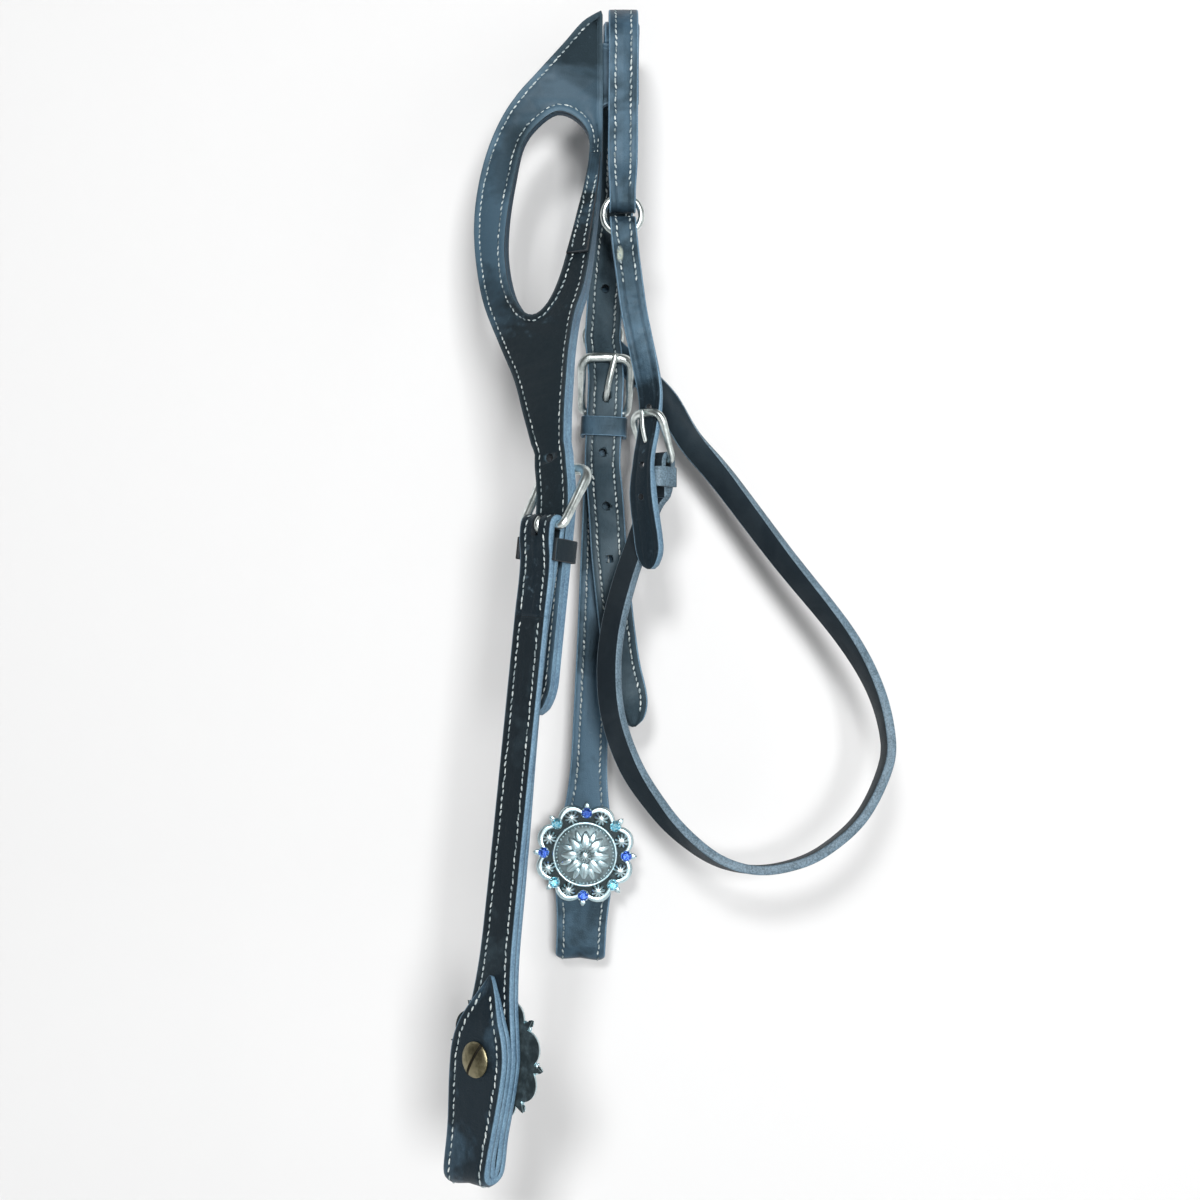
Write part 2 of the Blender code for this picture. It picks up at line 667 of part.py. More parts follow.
# The crown strap: the outer leather lies on the support and the lining is outside it
bend_top = Vector((straight(smooth_table(NEAR_SWAY), BEND_HEIGHT), BILLET_Y, BEND_HEIGHT + BEND_GAP / 2))
near_bend = near_frame @ bend_top
over = [Vector((CROWN_X, y, z)) for y, z in turn((0.0, ARCH), CROWN_RADIUS, 180, 0, 14)]
behind = curve([over[-1], Vector((0.0001, CROWN_RADIUS, -0.028)), Vector((-0.0010, 0.0103, -0.065)),
                Vector((-0.0038, 0.0085, -0.0876)), Vector((-0.0060, 0.0074, -0.108)), near_bend], 4)
before = [Vector((CROWN_X, -CROWN_RADIUS, ARCH - CROWN_LAP + CROWN_LAP * k / 3)) for k in range(4)]
whole = before[:-1] + over + behind[1:]
sides = across(whole)
sides[-1] = (near_frame.to_3x3() @ X_AXIS).normalized()
inner = offset(whole, sides, LAYER_STEP)
outer = offset(whole, sides, -LAYER_STEP)
crown_outer = ribbon("crown_strap_outer", inner, sides, [CHEEK_WIDTH] * len(whole), LAYER, leather_black)
skip = len(before) - 1
crown_lining = ribbon("crown_strap_lining", outer[skip:], sides[skip:], [CHEEK_WIDTH] * (len(whole) - skip), LAYER,
                      leather_lining)
for number, strap in enumerate((crown_outer, crown_lining)):
    boolean(strap, rods_along_y(f"crown_hole_{number}", [(-0.0064, -0.1099, HOLE_RADIUS)], 0.001, 0.014, None, 10))


def hanger_x(y, z):
    """The hanger leans to the left behind the crown strap, on its way to the second ring."""
    if y < 0.0:
        return HANGER_X + (RING_1.x - HANGER_X) * min(max((ARCH - z) / (ARCH - RING_1.z), 0.0), 1.0)
    return HANGER_X + (RING_2.x - HANGER_X) * min(max((ARCH - z) / (ARCH - RING_2.z), 0.0), 1.2)


def hanger_width(y, z):
    """The hanger narrows a little where it folds round a ring."""
    low, narrow = (RING_1.z, HANGER_FOLD_WIDTH) if y < 0.0 else (RING_2.z, PINCHED_WIDTH)
    t = min(max((z - low - 0.010) / 0.012, 0.0), 1.0)
    return narrow + (HANGER_WIDTH - narrow) * t


def ring_fold(ring, out):
    """The hanger's (y, z) line round a ring, from the end of its lap: out is -1 in front and 1 behind."""
    fold_z = ring.z + (RING_FOLD_HEIGHT if out < 0 else PINCHED_FOLD_HEIGHT)
    lap = -out * LAYER_STEP
    line = [(lap, ring.z + HANGER_LAP)]
    line += ease((lap, ring.z + HANGER_LAP - 0.003), (-out * HANGER_FOLD, ring.z + 0.0103), 4)
    line += [(-out * p, z) for p, z in turn((0.0, fold_z), HANGER_FOLD, 0, -180, 12)]
    line += [(out * HANGER_FOLD, ring.z + 0.0103)]
    line += ease((out * HANGER_FOLD, ring.z + 0.0103), (out * LAYER_STEP, ring.z + HANGER_LAP + 0.002), 4)
    return [(ring.y + y, z) for y, z in line]


track = ring_fold(RING_1, -1)
track += [(-HANGER_RADIUS - LAYER_STEP, RING_1.z + 0.045)]
track += turn((0.0, ARCH), HANGER_RADIUS + LAYER_STEP, 180, 0, 16)
track += [(HANGER_RADIUS + LAYER_STEP, RING_2.z + 0.080), (HANGER_RADIUS + LAYER_STEP, RING_2.z + 0.045)]
track += list(reversed(ring_fold(RING_2, 1)))
path = [Vector((hanger_x(y, z), y, z)) for y, z in track]
ribbon("throat_hanger_outer", path, across(path), [hanger_width(p.y, p.z) for p in path], LAYER, leather_black)
lining_y = HANGER_RADIUS - LAYER_STEP
track = [(-lining_y, RING_1.z + HANGER_LAP + SEAM), (-lining_y, RING_1.z + 0.045)]
track += turn((0.0, ARCH), lining_y, 180, 0, 16)
track += [(lining_y, RING_2.z + 0.080), (lining_y, RING_2.z + 0.045), (lining_y, RING_2.z + HANGER_LAP + SEAM)]
path = [Vector((hanger_x(y, z), y, z)) for y, z in track]
ribbon("throat_hanger_lining", path, across(path), [hanger_width(p.y, p.z) for p in path], LAYER,
       leather_lining)


# The rings, each on an empty in the fold that it swings in
def ring(name, centre):
    """A round ring, hung on the bottom of the hanger's fold."""
    pivot = 0.0065
    place = empty(name + "_joint", Matrix.Translation(centre + Vector((0.0, 0.0, pivot))))
    line = []
    for i in range(28):
        angle = 2 * math.pi * i / 28
        line.append(Vector((RING_RADIUS * math.cos(angle), 0.0, RING_RADIUS * math.sin(angle) - pivot)))
    add(name, tube_mesh(name, line, RING_WIRE, True, None, 2), nickel, place)


ring("ring_1", RING_1)
ring("ring_2", RING_2)


# The throat latch billet: folded round the lower side of ring 1, then down through its buckle
latch_plane = LATCH_BAR.y + LATCH_BILLET_Y
BILLET_LINE = [(RING_1.z, RING_1.x), (-0.0920, 0.0014), (-0.1050, 0.0030), (-0.1240, 0.0056), (-0.1370, 0.0082),
               (-0.1500, 0.0110), (-0.1600, 0.0128), (-0.1690, 0.0139), (-0.1780, LATCH_BAR.x),
               (-0.2010, LATCH_BAR.x), (-0.2070, 0.0139), (-0.2140, 0.0131), (-0.2220, 0.0127),
               (-0.2345, 0.0129)]
front_y = RING_1.y - LATCH_STEP
lap_end = -0.1240
fold_z = RING_1.z - RING_FOLD_HEIGHT
track = [(RING_1.y + LATCH_STEP, lap_end), (RING_1.y + LATCH_STEP, -0.1140)]
track += ease((RING_1.y + LATCH_STEP, RING_1.z - 0.0200), (RING_1.y + LATCH_RING_FOLD, RING_1.z - 0.0103), 4)
track += turn((RING_1.y, fold_z), LATCH_RING_FOLD, 0, 180, 12)
track += [(RING_1.y - LATCH_RING_FOLD, RING_1.z - 0.0103)]
track += ease((RING_1.y - LATCH_RING_FOLD, RING_1.z - 0.0103), (front_y, RING_1.z - 0.0200), 4)
track += [(front_y, -0.1140), (front_y, lap_end)]
track += ease((front_y, lap_end), (latch_plane, -0.1520), 3)
track += [(latch_plane, -0.1600), (latch_plane, -0.1690), (latch_plane, -0.1780), (latch_plane, -0.2010)]
track += [(latch_plane, -0.2070), (latch_plane, -0.2140), (latch_plane, -0.2200)]
track += [(latch_plane, -0.2345 + 0.011 * (1 - k / 6)) for k in range(1, 7)]
path = [Vector((straight(BILLET_LINE, z), y, z)) for y, z in track]
widths = []
for i, point in enumerate(path):
    left = point.z + 0.2345
    widths.append(tip_width(LATCH_WIDTH, left * 1.25) if left < 0.0105 else LATCH_WIDTH)
latch_billet = ribbon("throat_billet", path, across(path), widths, LATCH_STRAP, leather_black)
holes = [(straight(BILLET_LINE, z), z, HOLE_RADIUS * 0.85) for z in (-0.1645, -0.2020, -0.2150)]
boolean(latch_billet, rods_along_y("throat_billet_holes", holes, latch_plane - 0.004, latch_plane + 0.0025, None, 10))

# The throat latch itself: from the end near ring 2 round the loop, and folded round the heel bar
latch_place = Matrix.Translation(LATCH_BAR)
latch_empty = empty("throat_buckle_frame", latch_place)
rise = buckle("throat", latch_place, LATCH_WIDTH, LATCH_BAR_RADIUS, LATCH_BAR_RADIUS, LATCH_TONGUE_RADIUS,
              LATCH_BUCKLE_HEIGHT, LATCH_TOP_Y, LATCH_BILLET_Y - LATCH_STRAP / 2)
for room in tongue_cutters("throat", rise, LATCH_TONGUE_RADIUS, latch_empty):
    boolean(latch_billet, room)

# Each place on the loop: x, y and z in millimetres, and how far the strap is turned out of the picture
LOOP = [(13.5, 9.0, -151.6, 0), (21.2, 6.5, -160.6, 3), (30.8, 2.0, -177.7, 12),
        (44.8, -3.0, -195.1, 30), (69.8, -10.0, -229.3, 40), (94.8, -16.0, -261.7, 48),
        (107.2, -20.0, -284.2, 60), (112.3, -23.0, -304.5, 70), (110.9, -24.0, -318.9, 72),
        (101.2, -25.0, -338.3, 64), (87.1, -25.0, -351.5, 60), (73.4, -24.0, -358.6, 60),
        (56.7, -23.0, -361.3, 58), (40.2, -22.0, -357.1, 48), (24.7, -20.0, -345.8, 42),
        (13.3, -18.0, -332.6, 42), (4.0, -17.0, -317.8, 42), (-2.8, -16.0, -298.8, 42),
        (-4.9, -15.0, -279.6, 42), (-3.2, -14.0, -259.6, 34), (2.0, -12.0, -239.0, 22),
        (7.2, -10.5, -223.9, 10), (12.6, -8.8, -207.0, 0)]
main_y = LATCH_BAR.y + LATCH_STEP
low = LATCH_BAR.z
controls = [Vector((x / 1000, y / 1000, z / 1000, math.radians(angle))) for x, y, z, angle in LOOP]
controls.append(Vector((LATCH_BAR.x, main_y, low - 0.0125, 0.0)))
loop = curve(controls, 3)
path = [p.to_3d() for p in loop]
sides = []
for i, point in enumerate(path):
    along = (path[min(i + 1, len(path) - 1)] - path[max(i - 1, 0)]).normalized()
    outward = along.cross(Y_AXIS).normalized()
    side = outward * math.cos(loop[i].w) - Y_AXIS * math.sin(loop[i].w)
    sides.append((side - along * side.dot(along)).normalized())
track = ease((LATCH_STEP, -0.0125), (LATCH_FOLD, -0.0035), 4)
track += turn((0.0, 0.0), LATCH_FOLD, 0, 180, 12)
track += ease((-LATCH_FOLD, -0.0030), (-LATCH_FOLD, -0.0035), 1)
track += ease((-LATCH_FOLD, -0.0035), (-LATCH_STEP, -0.0125), 4)
track += [(-LATCH_STEP, -0.0155)]
path += [LATCH_BAR + Vector((0.0, y, z)) for y, z in track]
sides += [-X_AXIS] * len(track)
split = path[0]
down = split - RING_2
turned_by = -math.atan2(down.x, -down.z)
sides[0] = Matrix.Rotation(turned_by, 3, "Y") @ X_AXIS
throat_strap = ribbon("throat_strap", path, sides, [LATCH_WIDTH] * len(path), LATCH_STRAP, leather_black)
boolean(throat_strap, block("throat_tongue_slot", (2 * LATCH_TONGUE_RADIUS + 0.0010, 0.016, 0.0100),
                            (0.0, 0.0, 0.0008), latch_empty))

# The far end of the throat latch, folded round the lower side of ring 2
reach = Vector((down.x, 0.0, down.z)).length - BEND_GAP
stub_place = Matrix.Translation(RING_2) @ Matrix.Rotation(turned_by, 4, "Y")
track = [(LATCH_STEP, -0.0260), (LATCH_STEP, -0.0220)]
track += ease((LATCH_STEP, -0.0200), (LATCH_RING_FOLD, -0.0103), 4)
track += turn((0.0, -PINCHED_FOLD_HEIGHT), LATCH_RING_FOLD, 0, 180, 12)
track += [(-LATCH_RING_FOLD, -0.0103)]
track += ease((-LATCH_RING_FOLD, -0.0103), (-LATCH_STEP, -0.0190), 4)
track += ease((-LATCH_STEP, -0.0190), (down.y, -reach), 4)
path = [Vector((0.0, y, z)) for y, z in track]
stub_empty = empty("throat_strap_end_place", stub_place)
widths = []
for point in path:
    t = min(max((-point.z - 0.010) / 0.010, 0.0), 1.0)
    widths.append(PINCHED_WIDTH + (LATCH_WIDTH - PINCHED_WIDTH) * t)
ribbon("throat_strap_end", path, [X_AXIS] * len(path), widths, LATCH_STRAP, leather_black, stub_empty)

# The ear piece: it lies flat beside the hanger at its top, then leans forward and turns to the off buckle
EAR_TURN = math.pi - OFF_TURN
EAR_TOP = Vector((-0.0088, -(CROWN_RADIUS + 2 * LAYER_STEP), ARCH - CROWN_LAP))
EAR_END = off_frame @ Vector((straight(smooth_table(OFF_SWAY), BEND_HEIGHT), BILLET_Y, BEND_HEIGHT + BEND_GAP / 2))
EAR_LEFT = [(-8.3, 3.7), (-16.1, -1.0), (-24.0, -10.0), (-35.5, -22.6), (-46.0, -34.7), (-53.9, -49.5),
            (-59.0, -67.0), (-61.2, -88.0), (-59.3, -109.4), (-55.0, -128.0), (-47.5, -146.5),
            (-41.0, -162.0), (-37.4, -175.0)]
EAR_RIGHT = [(-20.9, -176.0), (-20.4, -166.0), (-19.6, -152.0), (-17.6, -136.5), (-14.3, -124.5),
             (-12.0, -108.4), (-10.0, -89.3), (-8.6, -74.0), (-7.9, -57.3), (-7.7, -35.5)]
EAR_HOLE = [(-27.0, -39.0), (-35.6, -44.9), (-41.6, -54.0), (-45.0, -70.0), (-47.5, -88.0), (-47.7, -106.0),
            (-44.4, -122.7), (-38.5, -132.6), (-33.0, -134.6), (-27.6, -129.0), (-23.2, -116.8),
            (-19.0, -96.2), (-15.4, -78.0), (-13.0, -62.0), (-13.3, -50.0), (-18.5, -42.2)]


def ear_depth(x, z):
    """How far back the middle of the ear piece is at one place of its outline."""
    t = min(max((EAR_TOP.z - z) / (EAR_TOP.z - EAR_END.z), 0.0), 1.0)
    middle = EAR_TOP.x + (EAR_END.x - EAR_TOP.x) * t
    turned_t = min(1.15 * t, 1.0)
    angle = EAR_TURN * turned_t * turned_t * (3 - 2 * turned_t)
    return EAR_TOP.y + (EAR_END.y - EAR_TOP.y) * t * t * (3 - 2 * t) - math.tan(angle) * (x - middle)


def ear_place(x, z, distance):
    """A point of the ear piece, at a distance from its middle towards the viewer."""
    step = 0.0005
    slope_x = (ear_depth(x + step, z) - ear_depth(x - step, z)) / (2 * step)
    slope_z = (ear_depth(x, z + step) - ear_depth(x, z - step)) / (2 * step)
    normal = Vector((slope_x, -1.0, slope_z)).normalized()
    return Vector((x, ear_depth(x, z), z)) + normal * distance


def closed_curve(points, per_span):
    """A smooth closed line through the points."""
    turned_points = [points[-1]] + points + points[:2]
    return curve(turned_points, per_span)[per_span:-per_span - 1]


def ear_sheet(name, tab, distance, finish):
    """One layer of the ear piece, cut out, bent to shape and given its thickness."""
    foot = off_frame.to_3x3() @ X_AXIS * (CHEEK_WIDTH / 2)
    left = [Vector((x / 1000, z / 1000)) for x, z in EAR_LEFT] + [Vector(((EAR_END + foot).x, (EAR_END + foot).z))]
    right = [Vector(((EAR_END - foot).x, (EAR_END - foot).z))] + [Vector((x / 1000, z / 1000)) for x, z in EAR_RIGHT]
    outline = curve(left, 3) + curve(right, 3)
    if tab:
        edge = ARCH - SEAM
        outline += [Vector((-0.0077, ARCH - CROWN_LAP)), Vector((0.0070, ARCH - CROWN_LAP)), Vector((0.0070, edge))]
        outline += [Vector((-0.0077, edge))]
    outline += [Vector((-0.0077, 0.0033))]
    hole = closed_curve([Vector((x / 1000, z / 1000)) for x, z in EAR_HOLE], 3)
    mesh = bpy.data.meshes.new(name)
    shape = bmesh.new()
    edges = []
    for line in (outline, hole):
        rim = [shape.verts.new((p.x, 0.0, p.y)) for p in line]
        edges += [shape.edges.new((a, b)) for a, b in zip(rim, rim[1:] + rim[:1])]
    bmesh.ops.triangle_fill(shape, use_beauty=True, edges=edges, normal=(0.0, -1.0, 0.0))
    for k in range(20):
        everything = shape.verts[:] + shape.edges[:] + shape.faces[:]
        bmesh.ops.bisect_plane(shape, geom=everything, dist=0.0003, plane_co=(0.0, 0.0, -0.034 - 0.008 * k),
                               plane_no=(0.0, 0.0, 1.0))
    bmesh.ops.triangulate(shape, faces=shape.faces[:])
    for vert in shape.verts:
        vert.co = ear_place(vert.co.x, vert.co.z, distance)
    bmesh.ops.recalc_face_normals(shape, faces=shape.faces)
    shape.to_mesh(mesh)
    shape.free()
    sheet = add(name, mesh, finish)
    wall = sheet.modifiers.new("thickness", "SOLIDIFY")
    wall.thickness = LAYER
    wall.offset = 0.0
    wall.use_even_offset = True
    return sheet


ear_outer = ear_sheet("ear_piece_outer", True, -LAYER_STEP, leather_black)
ear_lining = ear_sheet("ear_piece_lining", False, LAYER_STEP, leather_lining)

# The strip sewn over the narrow side of the ear opening
strip = [(-60.0, -12.3, -8.3), (-68.0, -13.4, -8.7), (-76.0, -14.8, -9.2), (-84.0, -16.4, -10.0),
         (-92.0, -17.9, -10.8), (-98.0, -18.9, -11.5)]
rows = curve([Vector((z / 1000, first / 1000, second / 1000)) for z, first, second in strip], 2)
first_edge = [ear_place(row.y, row.x, LAYER_STEP + LAYER + SEAM - 0.0003) for row in rows]
second_edge = [ear_place(row.z, row.x, LAYER_STEP + LAYER + SEAM - 0.0003) for row in rows]
path = [(a + b) / 2 for a, b in zip(first_edge, second_edge)]
sides = [b - a for a, b in zip(first_edge, second_edge)]
ribbon("ear_overlay", path, sides, [side.length for side in sides], 0.0015, leather_lining)
keeper("throat", latch_empty, LATCH_WIDTH, LATCH_BAR_RADIUS, LATCH_BILLET_Y - LATCH_STRAP / 2,
       LATCH_STRAP + SEAM / 2)
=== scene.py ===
# %% [markdown]
# # A one ear headstall
# A headstall is the part of a bridle that goes over the horse's head and carries the bit. This one has no
# browband: one ear goes through a shaped piece of leather. It hangs over a round support by its crown, so
# its two halves hang beside each other and the throat latch makes a loop at the side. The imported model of
# its solid parts is loaded first. Every piece made below lies where that model says, in metres.

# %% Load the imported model
import random
from math import atan2, copysign, cos, exp, hypot, inf, pi, radians, sin, sqrt, tan

import bmesh
import bpy
from mathutils import Matrix, Vector
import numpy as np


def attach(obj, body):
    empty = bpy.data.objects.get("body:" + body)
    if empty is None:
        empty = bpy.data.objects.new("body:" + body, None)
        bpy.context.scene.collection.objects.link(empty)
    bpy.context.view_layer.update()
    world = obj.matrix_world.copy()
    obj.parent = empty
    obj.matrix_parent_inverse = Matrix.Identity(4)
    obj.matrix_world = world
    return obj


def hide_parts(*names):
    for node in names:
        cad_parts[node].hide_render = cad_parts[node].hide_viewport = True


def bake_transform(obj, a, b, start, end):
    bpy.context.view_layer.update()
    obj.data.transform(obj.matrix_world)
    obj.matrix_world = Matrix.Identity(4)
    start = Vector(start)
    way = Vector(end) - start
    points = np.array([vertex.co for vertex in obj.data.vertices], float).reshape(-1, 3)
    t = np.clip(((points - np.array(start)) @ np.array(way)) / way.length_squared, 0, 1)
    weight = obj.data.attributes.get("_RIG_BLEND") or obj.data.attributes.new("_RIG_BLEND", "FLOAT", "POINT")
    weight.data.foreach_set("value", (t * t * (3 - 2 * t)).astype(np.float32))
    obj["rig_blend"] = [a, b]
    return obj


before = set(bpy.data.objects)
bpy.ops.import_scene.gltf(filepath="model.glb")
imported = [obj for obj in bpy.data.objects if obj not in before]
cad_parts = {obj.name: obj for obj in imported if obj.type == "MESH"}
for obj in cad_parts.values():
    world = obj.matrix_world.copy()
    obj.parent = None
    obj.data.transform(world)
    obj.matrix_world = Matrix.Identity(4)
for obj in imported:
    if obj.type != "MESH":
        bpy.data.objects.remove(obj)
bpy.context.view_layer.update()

# %% [markdown]
# ## Sizes
# The leather is cut from sides of one thickness, and most straps are two layers sewn together. These
# numbers are the ones that the solid parts were made from, so each strap here follows the same line as its
# solid.

# %% Sizes of leather and metal
# Straps: their thickness, the gap between two layers, their widths and lengths
LAYER = 0.0021
LATCH_STRAP = 0.0024
SEAM = 0.0003
CHEEK_WIDTH = 0.0159
HANGER_WIDTH = 0.0127
HANGER_FOLD_WIDTH = 0.0112
PINCHED_WIDTH = 0.0084
LATCH_WIDTH = 0.0111
CHEEK_LENGTH = 0.2455
LAP_LENGTH = 0.034
# The crown and the hanger
SUPPORT_RADIUS = 0.009
CROWN_X = 0.0006
CROWN_LAP = 0.025
HANGER_X = 0.0013
HANGER_LAP = 0.022
# Buckles, rings, screws and billets
BAR_RADIUS = 0.0016
TOP_BAR_RADIUS = 0.0019
BUCKLE_HEIGHT = 0.0222
SIDE_ROOM = 0.0007
TONGUE_RADIUS = 0.0011
RUNNING_GAP = 0.0003
LATCH_BAR_RADIUS = 0.0014
LATCH_BUCKLE_HEIGHT = 0.0195
LATCH_TONGUE_RADIUS = 0.0009
RING_RADIUS = 0.00805
RING_WIRE = 0.0014
SCREW_HEIGHT = 0.0485
BIT_LOOP_RADIUS = 0.0008
CONCHO_RADIUS = 0.0225
BEND_HEIGHT = 0.032
NEAR_TAIL = 0.139
OFF_TAIL = 0.071
# What follows from these
DOUBLE = 2 * LAYER + SEAM
LAYER_STEP = (LAYER + SEAM) / 2
LATCH_STEP = (LATCH_STRAP + SEAM) / 2
CROWN_RADIUS = SUPPORT_RADIUS + DOUBLE / 2
HANGER_RADIUS = SUPPORT_RADIUS + DOUBLE + SEAM + DOUBLE / 2
FOLD_RADIUS = BAR_RADIUS + RUNNING_GAP + LAYER / 2
BILLET_Y = -(FOLD_RADIUS + LAYER / 2 + SEAM + DOUBLE / 2)
TOP_BAR_Y = BILLET_Y - DOUBLE / 2 - SEAM - TOP_BAR_RADIUS
FLAP_STEP = 2 * LAYER + 2 * SEAM
SCREW_Z = -CHEEK_LENGTH + SCREW_HEIGHT
LATCH_FOLD = LATCH_BAR_RADIUS + RUNNING_GAP + LATCH_STRAP / 2
LATCH_BILLET_Y = -(LATCH_FOLD + LATCH_STRAP + SEAM)
LATCH_TOP_Y = LATCH_BILLET_Y - LATCH_STRAP / 2 - SEAM - LATCH_BAR_RADIUS
RING_FOLD_HEIGHT = 0.00525
PINCHED_FOLD_HEIGHT = 0.0066
HANGER_FOLD = RING_WIRE + 0.00085 + LAYER / 2
LATCH_RING_FOLD = RING_WIRE + 0.00085 + LATCH_STRAP / 2
ARCH = -SUPPORT_RADIUS
X_AXIS = Vector((1.0, 0.0, 0.0))
Y_AXIS = Vector((0.0, 1.0, 0.0))
Z_AXIS = Vector((0.0, 0.0, 1.0))

# %% [markdown]
# ## Places and outlines
# Two points give a cheek: its buckle's heel bar and its foot. A row of a table says how high a place is and
# what the strap has there: its width, or how far it has moved sideways.

# %% Places and outlines
NEAR_BAR = Vector((-0.0067, 0.0135, -0.1639))
NEAR_FOOT = Vector((-0.0177, 0.0135, -0.4102))
OFF_BAR = Vector((-0.0302, -0.0880, -0.2196))
OFF_FOOT = Vector((-0.0540, -0.0980, -0.4627))
OFF_TURN = radians(140)
LATCH_BAR = Vector((0.0142, -0.0100, -0.1882))
RING_1 = Vector((0.0008, -HANGER_RADIUS, -0.0836))
RING_2 = Vector((-0.0074, HANGER_RADIUS, -0.1292))
CHEEK_SHAPE = [(0.060, 0.0159), (0.040, 0.0164), (0.0275, 0.0182), (0.0187, 0.0207), (0.0099, 0.0242),
               (0.0011, 0.0272), (-0.010, 0.0264), (-0.025, 0.0233), (-0.0366, 0.0222), (-0.060, 0.0222)]
FLAP_SHAPE = [(0.0300, 0.0008), (0.0285, 0.0030), (0.0257, 0.0064), (0.0222, 0.0108), (0.0162, 0.0172),
              (0.0092, 0.0240)] + CHEEK_SHAPE[5:]
NEAR_SWAY = [(0.034, -0.0027), (0.023, -0.0010), (0.013, 0.0), (0.0, 0.0), (-0.014, 0.0), (-0.026, 0.0003),
             (-0.042, 0.0026), (-0.065, 0.0050), (-0.107, 0.0117), (-0.127, 0.0168), (-0.140, 0.0193)]
OFF_SWAY = [(0.034, 0.0058), (0.023, 0.0030), (0.013, 0.0008), (0.0, 0.0), (-0.060, 0.0), (-0.080, -0.0005)]
print("strap:", LAYER * 2000, "mm thick, cheek:", CHEEK_LENGTH * 1000, "mm long")

# %% [markdown]
# ## Lines that straps follow
# A strap is bent leather: it keeps its width and bends only across its thickness. So a strap is described
# by a line through its middle and a width direction at each place. A few helpers draw such lines: a smooth
# line through points, an arc, and an eased step sideways.

# %% Smooth lines and tables


def through(points, per_span):
    """A smooth line through points, as a Catmull-Rom spline."""
    made = []
    last = len(points) - 1
    for i in range(last):
        before = points[max(i - 1, 0)]
        start = points[i]
        end = points[i + 1]
        after = points[min(i + 2, last)]
        for k in range(per_span):
            t = k / per_span
            made.append(0.5 * (2 * start + (end - before) * t
                               + (2 * before - 5 * start + 4 * end - after) * t * t
                               + (3 * start - before - 3 * end + after) * t ** 3))
    made.append(points[last].copy())
    return made


def straight(table, at):
    """Reads a table of (place, value) rows, highest place first, along straight lines."""
    if at >= table[0][0]:
        return table[0][1]
    for (high, first), (low, second) in zip(table, table[1:]):
        if at >= low:
            return first + (second - first) * (high - at) / (high - low)
    return table[-1][1]


def smooth_table(table):
    """The same table with a smooth curve through its rows."""
    return [tuple(row) for row in through([Vector(row) for row in table], 5)]


def soft_step(t):
    """Goes from 0 to 1 with a soft start and a soft end."""
    t = min(max(t, 0.0), 1.0)
    return t * t * (3 - 2 * t)


def ease(start, end, count):
    """Points from one (y, z) place to another, leaving and arriving along Z."""
    return [(start[0] + (end[0] - start[0]) * soft_step(i / count),
             start[1] + (end[1] - start[1]) * i / count) for i in range(1, count + 1)]


def turn(centre, radius, first, last, count):
    """Points on an arc in the (y, z) plane, with angles in degrees from +Y towards +Z."""
    angles = [radians(first + (last - first) * i / count) for i in range(count + 1)]
    return [(centre[0] + radius * cos(a), centre[1] + radius * sin(a)) for a in angles]


def along_at(path, i):
    """The direction of a path at one of its points."""
    return (path[min(i + 1, len(path) - 1)] - path[max(i - 1, 0)]).normalized()


def offset(path, sides, distance):
    """Moves a path square to itself and to the strap's width."""
    return [p + along_at(path, i).cross(sides[i]).normalized() * distance for i, p in enumerate(path)]


def across(path, axis=X_AXIS):
    """The width direction at each point of a path: the given axis, made square to the path."""
    made = []
    for i in range(len(path)):
        along = along_at(path, i)
        made.append((axis - along * axis.dot(along)).normalized())
    return made


def tip_width(width, left):
    """A strap's width near its round pointed tip."""
    reach = 0.013
    if left >= reach:
        return width
    return max(width * sqrt(max(0.0, 1 - (1 - left / reach) ** 1.8)), 0.0016)


# %% [markdown]
# ## Frames of the hanging pieces
# A cheek hangs straight from its buckle, so it is drawn in a frame of its own: the origin on the heel bar,
# Z up along the cheek, and -Y out of the side that shows. The throat buckle has such a frame too.

# %% Frames of the cheeks and the throat buckle
LATCH_YAW = radians(-44)
LATCH_SHIFT = 0.0026


def hanging_frame(bar, foot, turned_by):
    """The frame of a cheek: its origin on the heel bar, Z up along the cheek and -Y out of its show side."""
    up = (bar - foot).normalized()
    side = Matrix.Rotation(turned_by, 3, "Z") @ X_AXIS
    out = up.cross(side).normalized()
    made = Matrix((out.cross(up).normalized(), out, up)).transposed().to_4x4()
    made.translation = bar
    return made


near_frame = hanging_frame(NEAR_BAR, NEAR_FOOT, 0.0)
off_frame = hanging_frame(OFF_BAR, OFF_FOOT, OFF_TURN)
latch_frame = Matrix.Translation(LATCH_BAR + X_AXIS * LATCH_SHIFT) @ Matrix.Rotation(LATCH_YAW, 4, "Z")
near_sway = smooth_table(NEAR_SWAY)
off_sway = smooth_table(OFF_SWAY)
for side, bar_place in (("near", NEAR_BAR), ("off", OFF_BAR)):
    print(side, "cheek hangs from", [round(x, 4) for x in bar_place])

# %% [markdown]
# ## Shader maths
# Materials are made of nodes. Joining Math nodes by hand hides what they compute, so a small class wraps a
# socket and gives it Python's operators: `grain * 0.4 + 0.2` then adds the two Math nodes and their links.
# Any other node comes from one method, which sets the node's own settings first and then its sockets.

# %% A value that adds Math nodes


